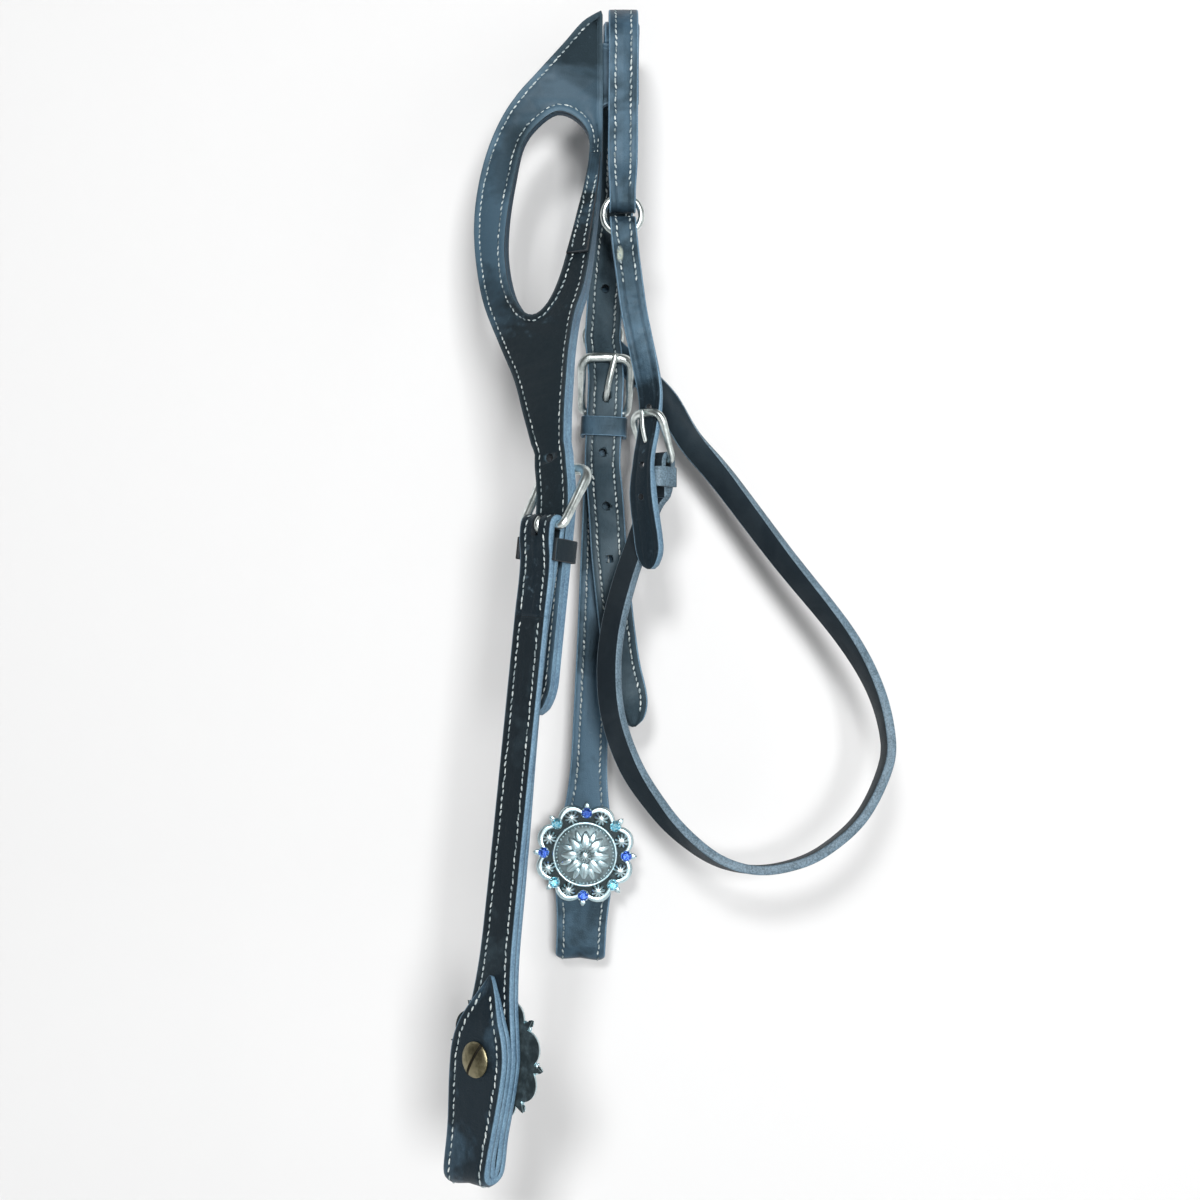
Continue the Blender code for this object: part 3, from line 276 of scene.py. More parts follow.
class Value:
    """A number that comes out of a node: operators on it add Math nodes."""

    def __init__(self, sheet, socket):
        self.sheet = sheet
        self.socket = socket

    def maths(self, operation, first, second=0.0, third=0.0):
        return self.sheet.node("ShaderNodeMath", {0: first, 1: second, 2: third}, operation=operation)

    def __add__(self, other):
        return self.maths("ADD", self, other)

    def __sub__(self, other):
        return self.maths("SUBTRACT", self, other)

    def __rsub__(self, other):
        return self.maths("SUBTRACT", other, self)

    def __mul__(self, other):
        return self.maths("MULTIPLY", self, other)

    __radd__ = __add__
    __rmul__ = __mul__

    def between(self, low, high):
        """0 below low, 1 above high and a soft step between them."""
        return self.sheet.node("ShaderNodeMapRange", {0: self, 1: low, 2: high},
                               interpolation_type="SMOOTHSTEP")

# %% [markdown]
# ## A sheet of nodes
# A material and the world both keep their nodes in a tree. This class has one method that adds any node to
# such a tree, and a few short ones for the nodes that are used again and again.

# %% A sheet of nodes


class Sheet:
    """A material's nodes with its Principled shader, or the world's with its Background."""

    def __init__(self, name, world=None):
        self.material = world or bpy.data.materials.new(name)
        self.material.use_nodes = True
        self.tree = self.material.node_tree
        self.shader = self.tree.nodes["Background" if world else "Principled BSDF"]

    def node(self, kind, sockets=None, output=0, stops=None, **settings):
        """Adds a node, sets it and its sockets, and gives one of its outputs."""
        made = self.tree.nodes.new(kind)
        for name, setting in settings.items():
            setattr(made, name, setting)
        for i, (place, colour) in enumerate(stops or []):
            stop = made.color_ramp.elements[i] if i < 2 else made.color_ramp.elements.new(place)
            stop.position = place
            stop.color = (*colour, 1.0)
        self.join(made, sockets or {})
        return Value(self, made.outputs[output])

    def join(self, made, sockets):
        """Sets or links sockets of a node by name or number."""
        for name, value in sockets.items():
            if isinstance(value, Value):
                self.tree.links.new(value.socket, made.inputs[name])
            elif isinstance(value, tuple) and made.inputs[name].type == "RGBA":
                made.inputs[name].default_value = (*value, 1.0)
            else:
                made.inputs[name].default_value = value

    def mix(self, share, first, second):
        """Two colours mixed by a share."""
        return self.node("ShaderNodeMix", {0: share, 6: first, 7: second}, 2, data_type="RGBA")

    def noise(self, place, scale, detail=2.0, roughness=0.5, distortion=0.0):
        return self.node("ShaderNodeTexNoise", {"Vector": place, "Scale": scale, "Detail": detail,
                                                "Roughness": roughness, "Distortion": distortion})

    def place(self, kind="Object"):
        """Object or UV coordinates, in millimetres."""
        source = self.node("ShaderNodeTexCoord", {}, kind)
        return self.node("ShaderNodeMapping", {"Vector": source, "Scale": Vector((1000.0, 1000.0, 1000.0))})

    def attribute(self, name):
        """A number kept on the mesh's points."""
        return self.node("ShaderNodeAttribute", {}, "Fac", attribute_name=name)

    def bump(self, height, distance):
        """The normal of a surface with this height, in units of a distance."""
        return self.node("ShaderNodeBump", {"Height": height, "Distance": distance, "Strength": 1.0})

# %% [markdown]
# ## Leather
# Dressed black leather isn't black: it is a dark slate colour with a soft, slightly blue shine. It has a
# fine grain, short creases across the strap where it bends, and paler rubbed places along its edges. The
# stitching lies in a shallow channel, and the colour is darker there. The mesh keeps each point's distance
# from the strap's edge in an attribute, so that one material can follow every strap, however it bends.

# %% Leather and its cut edge


def patch(sheet, centre, size, soft=1.0):
    """1 inside an egg-shaped place of the headstall and 0 outside it."""
    place = sheet.node("ShaderNodeTexCoord", {}, "Object")
    moved = sheet.node("ShaderNodeVectorMath", {0: place, 1: Vector(centre)}, operation="SUBTRACT")
    shrunk = sheet.node("ShaderNodeVectorMath", {0: moved, 1: Vector(size)}, operation="DIVIDE")
    far = sheet.node("ShaderNodeVectorMath", {0: shrunk}, 1, operation="LENGTH")
    return 1 - far.between(1.0 - 0.5 * soft, 1.0 + 0.5 * soft)


def leather(name, dark, light, rubbed, shine, creases, patches=(), scuffed=(), rub=0.7):
    """Leather between a dark and a light tone, with rubbed edges, creases across the strap and patches of
    painted light and shade.
    """
    sheet = Sheet(name)
    place = sheet.place()
    strap = sheet.place("UV")
    edge = sheet.attribute("edge") * 1000.0
    tone = sheet.noise(place, 0.035, 3.0, 0.6, 0.6)
    blotch = sheet.noise(place, 0.4, 4.0, 0.65)
    grain = sheet.node("ShaderNodeTexVoronoi", {"Vector": place, "Scale": 1.7, "Randomness": 1.0})
    pores = sheet.noise(place, 3.2, 3.0, 0.6)
    stretched = sheet.node("ShaderNodeMapping", {"Vector": strap, "Scale": Vector((0.16, 1.0, 1.0))})
    crease = sheet.noise(stretched, 0.75, 3.0, 0.55, 0.5)
    crease_mask = sheet.noise(strap, 0.06, 1.0).between(0.42, 0.62)
    lightness = tone.between(0.32, 0.68)
    # Patches of painted light and shade: lighter where light falls, darker where shade falls
    for centre, size, change in patches:
        lightness = lightness + patch(sheet, centre, size) * change
    lightness = sheet.node("ShaderNodeClamp", {0: lightness + (blotch - 0.5) * 0.5})
    colour = sheet.mix(lightness, dark, light)
    scuffs = blotch.between(0.56, 0.74) * tone.between(0.45, 0.65)
    colour = sheet.mix(scuffs * 0.4, colour, rubbed)
    rim = (1 - edge.between(0.2, 1.2)) * (blotch.between(0.3, 0.6) * 0.6 + 0.4)
    colour = sheet.mix(rim * rub, colour, rubbed)
    # Darker colour along the stitching channel
    channel = edge.between(2.3, 2.9) * (1 - edge.between(3.6, 4.2))
    colour = sheet.mix(channel * 0.25, colour, tuple(c * 0.35 for c in dark))
    rough = blotch * 0.25 + shine + scuffs * 0.12 + channel * 0.15
    for centre, size in scuffed:
        worn = patch(sheet, centre, size, 0.8) * blotch.between(0.36, 0.52)
        colour = sheet.mix(worn, colour, (0.42, 0.46, 0.38))
    height = grain * 0.05 + pores * 0.09 + crease * crease_mask * creases
    sheet.join(sheet.shader, {"Base Color": colour, "Roughness": rough, "Specular IOR Level": 0.42,
                              "Coat Weight": lightness * 0.12, "Coat Roughness": 0.32, "Coat IOR": 1.5,
                              "Specular Tint": (0.50, 0.80, 1.0),
                              "Normal": sheet.bump(height, 0.001)})
    return sheet.material


def cut_edge(name, dark, light, shaded=()):
    """The cut and dyed edge of leather: matt, with fibres along it, and darker in shaded places."""
    sheet = Sheet(name)
    place = sheet.place()
    fibres = sheet.noise(place, 1.3, 4.0, 0.7)
    patches = sheet.noise(place, 0.12, 2.0)
    colour = sheet.mix(fibres.between(0.35, 0.7) * 0.7 + patches.between(0.3, 0.7) * 0.3, dark, light)
    for centre, size in shaded:
        colour = sheet.mix(patch(sheet, centre, size) * 0.85, colour, tuple(c * 0.2 for c in dark))
    sheet.join(sheet.shader, {"Base Color": colour, "Roughness": fibres * 0.2 + 0.45,
                              "Normal": sheet.bump(fibres, 0.00012)})
    return sheet.material

# %% [markdown]
# ## The leathers of this headstall
# The leather was dyed alike. Light and shade are painted on it as patches: egg-shaped places that are
# lighter where light falls and darker where shade falls. The linings are darker, and the cut edges are the
# palest.

# %% The leathers of this headstall
# Painted light and shade: the middle of a patch, its half size, and how much lighter or darker it is
NEAR_PAINTED_SHADING = [((-0.0172, 0.012, -0.208), (0.0058, 0.012, 0.036), -1.0),
                ((0.0, 0.008, -0.235), (0.02, 0.02, 0.05), 0.35),
                ((-0.014, 0.01, -0.335), (0.03, 0.02, 0.045), 0.4)]
OFF_PAINTED_SHADE = [((-0.045, -0.09, -0.33), (0.045, 0.05, 0.19), -0.5),
               ((-0.031, -0.088, -0.240), (0.014, 0.014, 0.026), -0.6)]
THROAT_PAINTED_SHADE = [((0.0105, -0.0205, -0.205), (0.013, 0.009, 0.040), -1.0),
                  ((0.0125, -0.016, -0.163), (0.012, 0.008, 0.012), -0.8)]
EAR_PAINTED_SHADING = [((-0.014, -0.02, 0.004), (0.034, 0.04, 0.026), -1.0),
               ((-0.030, -0.05, -0.160), (0.026, 0.08, 0.045), -0.9),
               ((-0.016, -0.04, -0.105), (0.014, 0.06, 0.025), -0.6),
               ((-0.026, -0.03, -0.033), (0.024, 0.03, 0.017), 0.6),
               ((-0.056, -0.04, -0.085), (0.012, 0.06, 0.045), 0.5),
               ((-0.029, -0.085, -0.203), (0.018, 0.04, 0.022), -0.9)]
EAR_EDGE_SHADE = [((-0.045, -0.04, -0.065), (0.048, 0.09, 0.088))]
SCUFFS = [((-0.0003, -0.0186, -0.1008), (0.0012, 0.004, 0.0028))]
EDGE_TONES = ((0.075, 0.150, 0.235), (0.200, 0.345, 0.460))
black_leather = leather("black_leather", (0.007, 0.012, 0.017), (0.056, 0.106, 0.155),
                        (0.120, 0.180, 0.225), 0.32, 0.18, NEAR_PAINTED_SHADING + OFF_PAINTED_SHADE + THROAT_PAINTED_SHADE,
                        SCUFFS)
lining_leather = leather("lining_leather", (0.006, 0.009, 0.012), (0.030, 0.048, 0.060),
                         (0.070, 0.095, 0.105), 0.38, 0.10, OFF_PAINTED_SHADE)
ear_leather = leather("ear_leather", (0.007, 0.011, 0.014), (0.054, 0.100, 0.142),
                      (0.105, 0.160, 0.195), 0.34, 0.06, EAR_PAINTED_SHADING, rub=0.25)
flesh_leather = leather("flesh_leather", (0.005, 0.007, 0.010), (0.012, 0.016, 0.020),
                        (0.022, 0.028, 0.034), 0.55, 0.05)
leather_edge = cut_edge("leather_edge", *EDGE_TONES)
ear_edge = cut_edge("ear_edge", *EDGE_TONES, EAR_EDGE_SHADE)
latch_edge = cut_edge("latch_edge", (0.050, 0.090, 0.120), (0.210, 0.310, 0.390))
# A near black edge, painted shade: for the walls of cut holes and slots and for edges that lie in shade
painted_shade_edge = cut_edge("painted_shade_edge", (0.010, 0.012, 0.014), (0.030, 0.040, 0.050))
OUTER_FINISH = [black_leather, leather_edge, flesh_leather]
LINING_FINISH = [lining_leather, leather_edge, flesh_leather]
print("leathers:", [m.name for m in (black_leather, lining_leather, ear_leather, flesh_leather)])

# %% [markdown]
# ## Thread and metal
# The thread was white and has greyed. The buckles and rings are nickel plated: smooth, bright and a little
# scratched. The conchos are silver plated and antiqued, so their hollows stay dark and their high places
# are rubbed bright. The screws are antiqued brass.

# %% Thread and metal materials


def thread_material():
    """Thread, white where it is clean and grey where it has worn."""
    sheet = Sheet("thread")
    worn = sheet.noise(sheet.place(), 0.30, 4.0, 0.75)
    tones = [(0.34, (0.07, 0.10, 0.11)), (0.62, (0.66, 0.72, 0.71)), (0.48, (0.30, 0.37, 0.39))]
    colour = sheet.node("ShaderNodeValToRGB", {0: worn}, stops=tones)
    sheet.join(sheet.shader, {"Base Color": colour, "Roughness": 0.8})
    return sheet.material


def metal(name, bright, dull, rough, hollow=None):
    """Plated metal: two tones, fine scratches and, where hollow is given, dark hollows."""
    sheet = Sheet(name)
    place = sheet.place()
    cloud = sheet.noise(place, 0.25, 4.0, 0.6)
    drawn_out = sheet.node("ShaderNodeMapping", {"Vector": place, "Scale": Vector((0.4, 3.0, 3.0))})
    scratch = sheet.noise(drawn_out, 2.2, 3.0)
    colour = sheet.mix(cloud.between(0.35, 0.7), bright, dull)
    roughness = cloud * 0.16 + scratch * 0.08 + rough
    metallic = 1.0
    if hollow:
        high = sheet.attribute("high")
        dirt = 1 - (high + cloud * 0.5 - 0.25).between(0.25, 0.75)
        colour = sheet.mix(dirt, colour, hollow)
        roughness = roughness + dirt * 0.3
        metallic = 1 - dirt * 0.35
    sheet.join(sheet.shader, {"Base Color": colour, "Roughness": roughness, "Metallic": metallic,
                              "Normal": sheet.bump(scratch, 0.00003)})
    return sheet.material


def gem(name, colour, glow):
    """Foil backed glass: bright facets of one colour."""
    sheet = Sheet(name)
    flecks = sheet.noise(sheet.place(), 1.1, 2.0)
    tone = sheet.mix(flecks.between(0.35, 0.65), colour, glow)
    sheet.join(sheet.shader, {"Base Color": tone, "Roughness": 0.06, "Metallic": 0.75})
    return sheet.material


thread = thread_material()
nickel = metal("nickel", (0.78, 0.84, 0.82), (0.44, 0.50, 0.49), 0.20)
silver = metal("antique_silver", (0.66, 0.82, 0.86), (0.42, 0.58, 0.63), 0.20, (0.030, 0.045, 0.050))
brass = metal("antique_brass", (0.30, 0.27, 0.17), (0.13, 0.12, 0.07), 0.24, (0.03, 0.028, 0.02))
blue_stone = gem("blue_stone", (0.02, 0.08, 0.62), (0.16, 0.32, 0.95))
aqua_stone = gem("aqua_stone", (0.10, 0.50, 0.72), (0.50, 0.85, 0.95))
print("metals:", [m.name for m in (nickel, silver, brass)])

# %% [markdown]
# ## The line of a strap
# A strap could be a curve object with a flat bevel, but a curve twists where it likes. Here it is a list of
# rows: a point, the direction across it, and its width. A smooth line through them is cut into even steps.

# %% The line of a strap at even steps


def flowing(rows, per_span):
    """A smooth line through unevenly spaced rows: the slope at a row weighs the spans on both sides."""
    gaps = [max((Vector(b[:3]) - Vector(a[:3])).length, 1e-6) for a, b in zip(rows, rows[1:])]
    rises = [(b - a) / gap for a, b, gap in zip(rows, rows[1:], gaps)]
    slopes = [rises[0]]
    for i in range(1, len(rows) - 1):
        share = gaps[i - 1] / (gaps[i - 1] + gaps[i])
        slopes.append(rises[i - 1] * (1 - share) + rises[i] * share)
    slopes.append(rises[-1])
    made = []
    for i, gap in enumerate(gaps):
        for k in range(per_span):
            t = k / per_span
            made.append(rows[i] * (2 * t ** 3 - 3 * t * t + 1) + slopes[i] * (gap * (t ** 3 - 2 * t * t + t))
                        + rows[i + 1] * (3 * t * t - 2 * t ** 3) + slopes[i + 1] * (gap * (t ** 3 - t * t)))
    made.append(rows[-1].copy())
    return made


class Strap:
    """A strap's middle line, width direction and width, at even steps along it."""

    def __init__(self, path, sides, widths, step=0.0012):
        rows = [Vector((*p, *s.normalized(), w)) for p, s, w in zip(path, sides, widths)]
        fine = flowing(rows, 5)
        lengths = [0.0]
        for a, b in zip(fine, fine[1:]):
            lengths.append(lengths[-1] + Vector((b - a)[:3]).length)
        count = max(2, round(lengths[-1] / step))
        self.length = lengths[-1]
        self.rows = []
        k = 0
        for i in range(count + 1):
            at = self.length * i / count
            while k < len(fine) - 2 and lengths[k + 1] < at:
                k += 1
            share = (at - lengths[k]) / max(lengths[k + 1] - lengths[k], 1e-9)
            row = fine[k].lerp(fine[k + 1], min(max(share, 0.0), 1.0))
            self.rows.append((Vector(row[:3]), Vector(row[3:6]).normalized(), row[6]))
        self.normals = []
        points = [row[0] for row in self.rows]
        for i, (_, side, _) in enumerate(self.rows):
            self.normals.append(along_at(points, i).cross(side).normalized())

    def at(self, distance):
        """Point, width direction, width, normal and direction at a distance along the strap."""
        place = min(max(distance / self.length, 0.0), 1.0) * (len(self.rows) - 1)
        i = min(int(place), len(self.rows) - 2)
        t = place - i
        a, b = self.rows[i], self.rows[i + 1]
        return (a[0].lerp(b[0], t), a[1].lerp(b[1], t), a[2] + (b[2] - a[2]) * t,
                self.normals[i].lerp(self.normals[i + 1], t), (b[0] - a[0]).normalized())

# %% [markdown]
# ## A grid rolled into a tube
# A flat ribbon with a Solidify modifier would have sharp edges and a dead flat face. So a strap starts as a
# grid that is rolled into a tube: every row of the grid is laid on one cross-section, and the ends are
# closed.

# %% A grid rolled into a tube


def roll(rows, u_places, v_places, slots, closed=False, edges=None):
    """A grid rolled into a tube: row k of the grid is laid on the ring of points rows[k]."""
    around = len(rows[0])
    steps = len(rows) if closed else len(rows) - 1
    shape = bmesh.new()
    uv = shape.loops.layers.uv.new("UVMap")
    layer = shape.verts.layers.float.new("edge")
    bmesh.ops.create_grid(shape, x_segments=around, y_segments=steps, size=0.5)
    place = {v: (round((v.co.x + 0.5) * around), round((v.co.y + 0.5) * steps)) for v in shape.verts}
    for face in shape.faces:
        column = min(place[v][0] for v in face.verts)
        face.material_index = slots[column % len(slots)]
        face.smooth = True
        for loop in face.loops:
            column, row = place[loop.vert]
            loop[uv].uv = (u_places[column % around], v_places[row % len(v_places)])
    for vert, (column, row) in place.items():
        vert.co = rows[row % len(rows)][column % around]
        if edges:
            vert[layer] = edges[row % len(rows)][column % around]
    bmesh.ops.remove_doubles(shape, verts=shape.verts, dist=1e-6)
    if not closed:
        ends = [e for e in shape.edges if e.is_boundary]
        for face in bmesh.ops.holes_fill(shape, edges=ends, sides=0)["faces"]:
            face.material_index = slots[0] if len(set(slots)) == 1 else 1
    bmesh.ops.recalc_face_normals(shape, faces=shape.faces)
    return shape


def link(made):
    """Puts an object in the scene."""
    bpy.context.scene.collection.objects.link(made)


def piece(name, shape, finishes, body=None, replaces=()):
    """Makes a bmesh an object of the headstall that rides on a body."""
    mesh = bpy.data.meshes.new(name)
    shape.to_mesh(mesh)
    shape.free()
    for finish in finishes:
        mesh.materials.append(finish)
    made = bpy.data.objects.new(name, mesh)
    link(made)
    if body:
        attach(made, body)
    if replaces:
        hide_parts(*replaces)
    return made

# %% [markdown]
# ## One layer of leather
# A section is drawn from its distance to the edge: a rounded corner, a border, the pressed channel of the
# stitching and a slightly raised middle. Two sewn layers look like one at their edges, so a layer that is
# joined to the next reaches down to it.

# %% One layer of leather
CHANNEL = 0.0032
FACE = [(0.0006, 0.0), (0.0016, 0.00004), (0.0026, 0.00002), (0.0032, -0.00014), (0.0038, 0.00002),
        (0.0048, 0.00005), (0.0062, 0.00005)]
FACE_MIDDLE = 0.00008
ROUND = 0.0006
WAIST = 0.0066
UNRUBBED = 0.0015


def mirrored(points):
    """The other half of a section."""
    return [(-x, h, d) for x, h, d in reversed(points)]


def section(half, half_thick, relief, joined):
    """A strap's closed section: places across it, heights over its middle, and distances from its edge."""
    squeeze = min(1.0, half / WAIST)
    r = ROUND * squeeze
    face = [(half - d * squeeze, half_thick + h * relief, d) for d, h in FACE]
    top = face + [(0.0, half_thick + FACE_MIDDLE * relief, half)] + mirrored(face)
    left = [(-half + r * (1 - sin(a)), half_thick - r * (1 - cos(a)), 0.0) for a in (0.7, 1.5708)]
    if joined:
        low = -half_thick - SEAM / 2 + 0.00001
        under = [(-half, low * 0.3, 0.0), (-half, low, 0.0), (-half + r, low, 0.0005)]
    else:
        low = -half_thick
        under = [(-half, low + r, 0.0), (-half + r * 0.35, low + r * 0.3, 0.0), (-half + r, low, 0.0005)]
    return top + left + under + [(0.0, low, half)] + mirrored(under) + mirrored(left)


def strap_shape(strap, thickness, lift=0.0, side=1, waves=None, relief=1.0, joined=True, thin=None):
    """One layer of leather on a strap's line.

    side says which way its face looks, waves(at) gives a function that wrinkles it at a distance along it,
    and thin(left) says how much of its thickness it has at a distance from its end.
    """
    rows, edges = [], []
    count = len(strap.rows)
    for i, (point, width_way, width) in enumerate(strap.rows):
        at = strap.length * i / (count - 1)
        up = strap.normals[i] * side
        half_thick = thickness / 2 * (thin(strap.length - at) if thin else 1.0)
        ring = section(width / 2, half_thick, relief, joined)
        heights = [lift + h for _, h, _ in ring]
        if waves:
            wave = waves(at)
            heights = [lift + h + wave(x) for x, h, _ in ring]
        rows.append([point + width_way * x + up * height for (x, _, _), height in zip(ring, heights)])
        edges.append([d if relief else UNRUBBED for _, _, d in ring])
    wide = max(row[2] for row in strap.rows) / 2
    face_u = [wide - d for d, _ in FACE]
    u_places = face_u + [0.0] + [-u for u in reversed(face_u)] + [-wide] * 5 + [0.0] + [wide] * 5
    v_places = [strap.length * i / (count - 1) for i in range(count)]
    slots = [0] * 14 + [1] * 5 + [2, 2] + [1] * 5
    return roll(rows, u_places, v_places, slots, edges=edges)


def strap_piece(name, strap, thickness, lift, side, finishes, body, slot, replaces, **more):
    """A whole strap layer as a piece."""
    return piece(name, strap_shape(strap, thickness, lift, side, **more), finishes, body, replaces)


print("points round a strap:", len(section(CHEEK_WIDTH / 2, LAYER / 2, 1.0, True)))

# %% [markdown]
# ## Stitches
# The thread is thick, and only the top of each stitch shows: a small stretched ball, a little aslant. An
# array along a curve would make them all alike, so each is placed by itself, with a little chance in its
# turn, its place, its length and its thickness.

# %% Stitches
STITCH = 0.0023
STITCH_PITCH = 0.0026
STITCH_SLANT = 0.16
STITCH_HEIGHT = 0.00028
hand = random.Random(4)


def stitch_place(point, along, normal, slant=STITCH_SLANT):
    """Where one stitch lies, how it is turned and how large it is."""
    side = along.cross(normal).normalized()
    sideways = slant + hand.uniform(-0.24, 0.24)
    along = (along + side * sideways + normal * hand.uniform(-0.10, 0.10)).normalized()
    side = along.cross(normal).normalized()
    point = point + side * hand.uniform(-0.00022, 0.00022)
    length = STITCH * hand.uniform(0.80, 1.16)
    place = Matrix((side, normal.normalized(), along)).transposed().to_4x4()
    place.translation = point
    thick = hand.uniform(0.00034, 0.00050)
    return place @ Matrix.Diagonal((thick, STITCH_HEIGHT, length / 2, 1.0))


def joined(shapes):
    """Several shapes as one."""
    whole = bmesh.new()
    for shape in shapes:
        mesh = bpy.data.meshes.new("part")
        shape.to_mesh(mesh)
        shape.free()
        whole.from_mesh(mesh)
        bpy.data.meshes.remove(mesh)
    return whole


def in_batches(places, make, size=24):
    """Adds many small shapes: made a few at a time, because adding to a large mesh is slow."""
    batches = []
    for first in range(0, len(places), size):
        batches.append(bmesh.new())
        for place in places[first:first + size]:
            make(batches[-1], place)
    return joined(batches)


def add_stitch(shape, place):
    """One stitch, as a stretched ball."""
    bmesh.ops.create_uvsphere(shape, u_segments=6, v_segments=5, radius=1.0, matrix=place)


def sewn(places):
    """Stitches at all these places."""
    return in_batches(places, add_stitch)


def stitch_rows(strap, height, side, start, end, margin=CHANNEL, least=0.0042):
    """Two rows of stitches in the channels of a strap's face, between two distances along it."""
    made = []
    count = max(1, int((end - start) / STITCH_PITCH))
    for row in (-1, 1):
        for k in range(count):
            at = start + (end - start) * (k + 0.5) / count
            point, width_way, width, normal, along = strap.at(at)
            half = width / 2
            if half < least:
                continue
            lateral = row * (half - margin * min(1.0, half / WAIST))
            place = point + width_way * lateral + normal * side * height
            made.append(stitch_place(place, along, normal * side, STITCH_SLANT * row))
    return made


print("a stitch every", STITCH_PITCH * 1000, "mm")

# %% [markdown]
# ## The near strap
# The near half is one doubled strap that runs over the crown, hangs down behind and ends in the billet that
# goes through the near buckle. It bends where the cheek begins to swing, so it is one mesh that blends from
# the crown's body to the cheek's body.

# %% The line of the near strap
near_middle = [Vector((CROWN_X, y, z)) for y, z in turn((0.0, ARCH), CROWN_RADIUS, 180, 0, 14)]
near_bend = near_frame @ Vector((straight(near_sway, BEND_HEIGHT), BILLET_Y, BEND_HEIGHT + SEAM))
behind = through([near_middle[-1], Vector((0.0001, CROWN_RADIUS, -0.028)), Vector((-0.0010, 0.0103, -0.065)),
                  Vector((-0.0038, 0.0085, -0.0876)), Vector((-0.0060, 0.0074, -0.108)), near_bend], 4)
before = [Vector((CROWN_X, -CROWN_RADIUS, ARCH - CROWN_LAP + CROWN_LAP * k / 3)) for k in range(4)]
crown_line = before[:-1] + near_middle + behind[1:]
crown_sides = across(crown_line)
crown_sides[-1] = (near_frame.to_3x3() @ X_AXIS).normalized()


def billet_line(side_frame, tail, sway):
    """Points, width directions and widths of a billet, from just under its bend to its tip."""
    heights = [0.026, 0.020, 0.015, 0.005, -0.010, -0.024]
    heights += [-0.024 - (tail - 0.037) * k / 8 for k in range(1, 9)]
    heights += [-tail + 0.013 * (1 - k / 6) for k in range(1, 7)]
    local = [Vector((straight(sway, z), BILLET_Y, z)) for z in heights]
    sides = []
    for i in range(len(local)):
        along = along_at(local, i)
        sides.append((side_frame.to_3x3() @ Vector((-along.z, 0.0, along.x))).normalized())
    return [side_frame @ p for p in local], sides, [tip_width(CHEEK_WIDTH, z + tail) for z in heights]


near_points, near_sides, near_widths = billet_line(near_frame, NEAR_TAIL, near_sway)
near_line = crown_line + near_points
near_across = crown_sides + near_sides
near_widths = [CHEEK_WIDTH - (0.0012 if p.y < 0.0 else 0.0) for p in crown_line] + near_widths
near_strap = Strap(near_line, near_across, near_widths)
skip = len(before) - 1
lining_strap = Strap(near_line[skip:], near_across[skip:], near_widths[skip:], 0.0007)
print("near strap:", round(near_strap.length * 1000), "mm")

# %% [markdown]
# ## The two layers of the near strap
# The billet's tail has wrinkled. The wrinkles are in the mesh and not in a bump, so that they also show at
# its edge. A wave is the sum of three sines with drawn phases, so that no two wrinkles are alike.

# %% The two layers of the near strap


def wrinkles(start, end, depth, pitch, seed):
    """Waves across a strap between two distances, deepest in the middle, irregular from one to the next."""
    draw = random.Random(seed)
    bends = [(draw.uniform(0, 6.28), draw.uniform(0.5, 1.0)) for _ in range(3)]

    def wave(at):
        share = min(max((at - start) / (end - start), 0.0), 1.0)
        size = depth * sin(pi * share) ** 0.6 if 0.0 < share < 1.0 else 0.0

        def height(lateral):
            total = 0.0
            for k, (phase, strength) in enumerate(bends):
                long = pitch * (0.8 + 0.45 * k)
                total += strength * sin(6.28 * at / long + phase + lateral * (220 - 160 * k))
            return size * total / 2
        return height
    return wave


def swing_between(made, first, second, start, end, slot, nodes):
    """Blends a strap across the place where it bends."""
    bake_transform(made, first, second, start=start, end=end)
    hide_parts(*nodes)
    return made


near_up = near_frame.to_3x3() @ Z_AXIS
NEAR_BLEND = (near_bend + near_up * 0.006, near_bend - near_up * 0.006)
PROUD = LAYER_STEP + LAYER / 2 - 0.0001
near_outer = piece("near_strap_outer", strap_shape(near_strap, LAYER, LAYER_STEP, 1), LINING_FINISH)
swing_between(near_outer, "crown", "near_cheek", *NEAR_BLEND, "black_leather",
              ["crown_strap_outer", "near_billet_outer"])
tail_waves = wrinkles(lining_strap.length - 0.086, lining_strap.length - 0.024, 0.00042, 0.0034, 3)
near_lining = piece("near_strap_lining", strap_shape(lining_strap, LAYER, LAYER_STEP, -1, tail_waves),
                    OUTER_FINISH)
swing_between(near_lining, "crown", "near_cheek", *NEAR_BLEND, "lining_leather",
              ["crown_strap_lining", "near_billet_lining"])
rows = stitch_rows(near_strap, PROUD, 1, 0.028, near_strap.length - 0.006)
rows += stitch_rows(lining_strap, PROUD, -1, 0.004, lining_strap.length - 0.006)
near_thread = piece("near_strap_thread", sewn(rows), [thread])
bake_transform(near_thread, "crown", "near_cheek", start=NEAR_BLEND[0], end=NEAR_BLEND[1])
print("near strap:", len(near_outer.data.polygons), "faces,", len(rows), "stitches")

# %% [markdown]
# ## Cheeks
# Each cheek is a doubled strap that is folded over the heel bar of its buckle, runs down, widens under the
# concho, and folds back up inside as a flap. The screw holds the flap, and the fold holds the bit.

# %% The line of a cheek


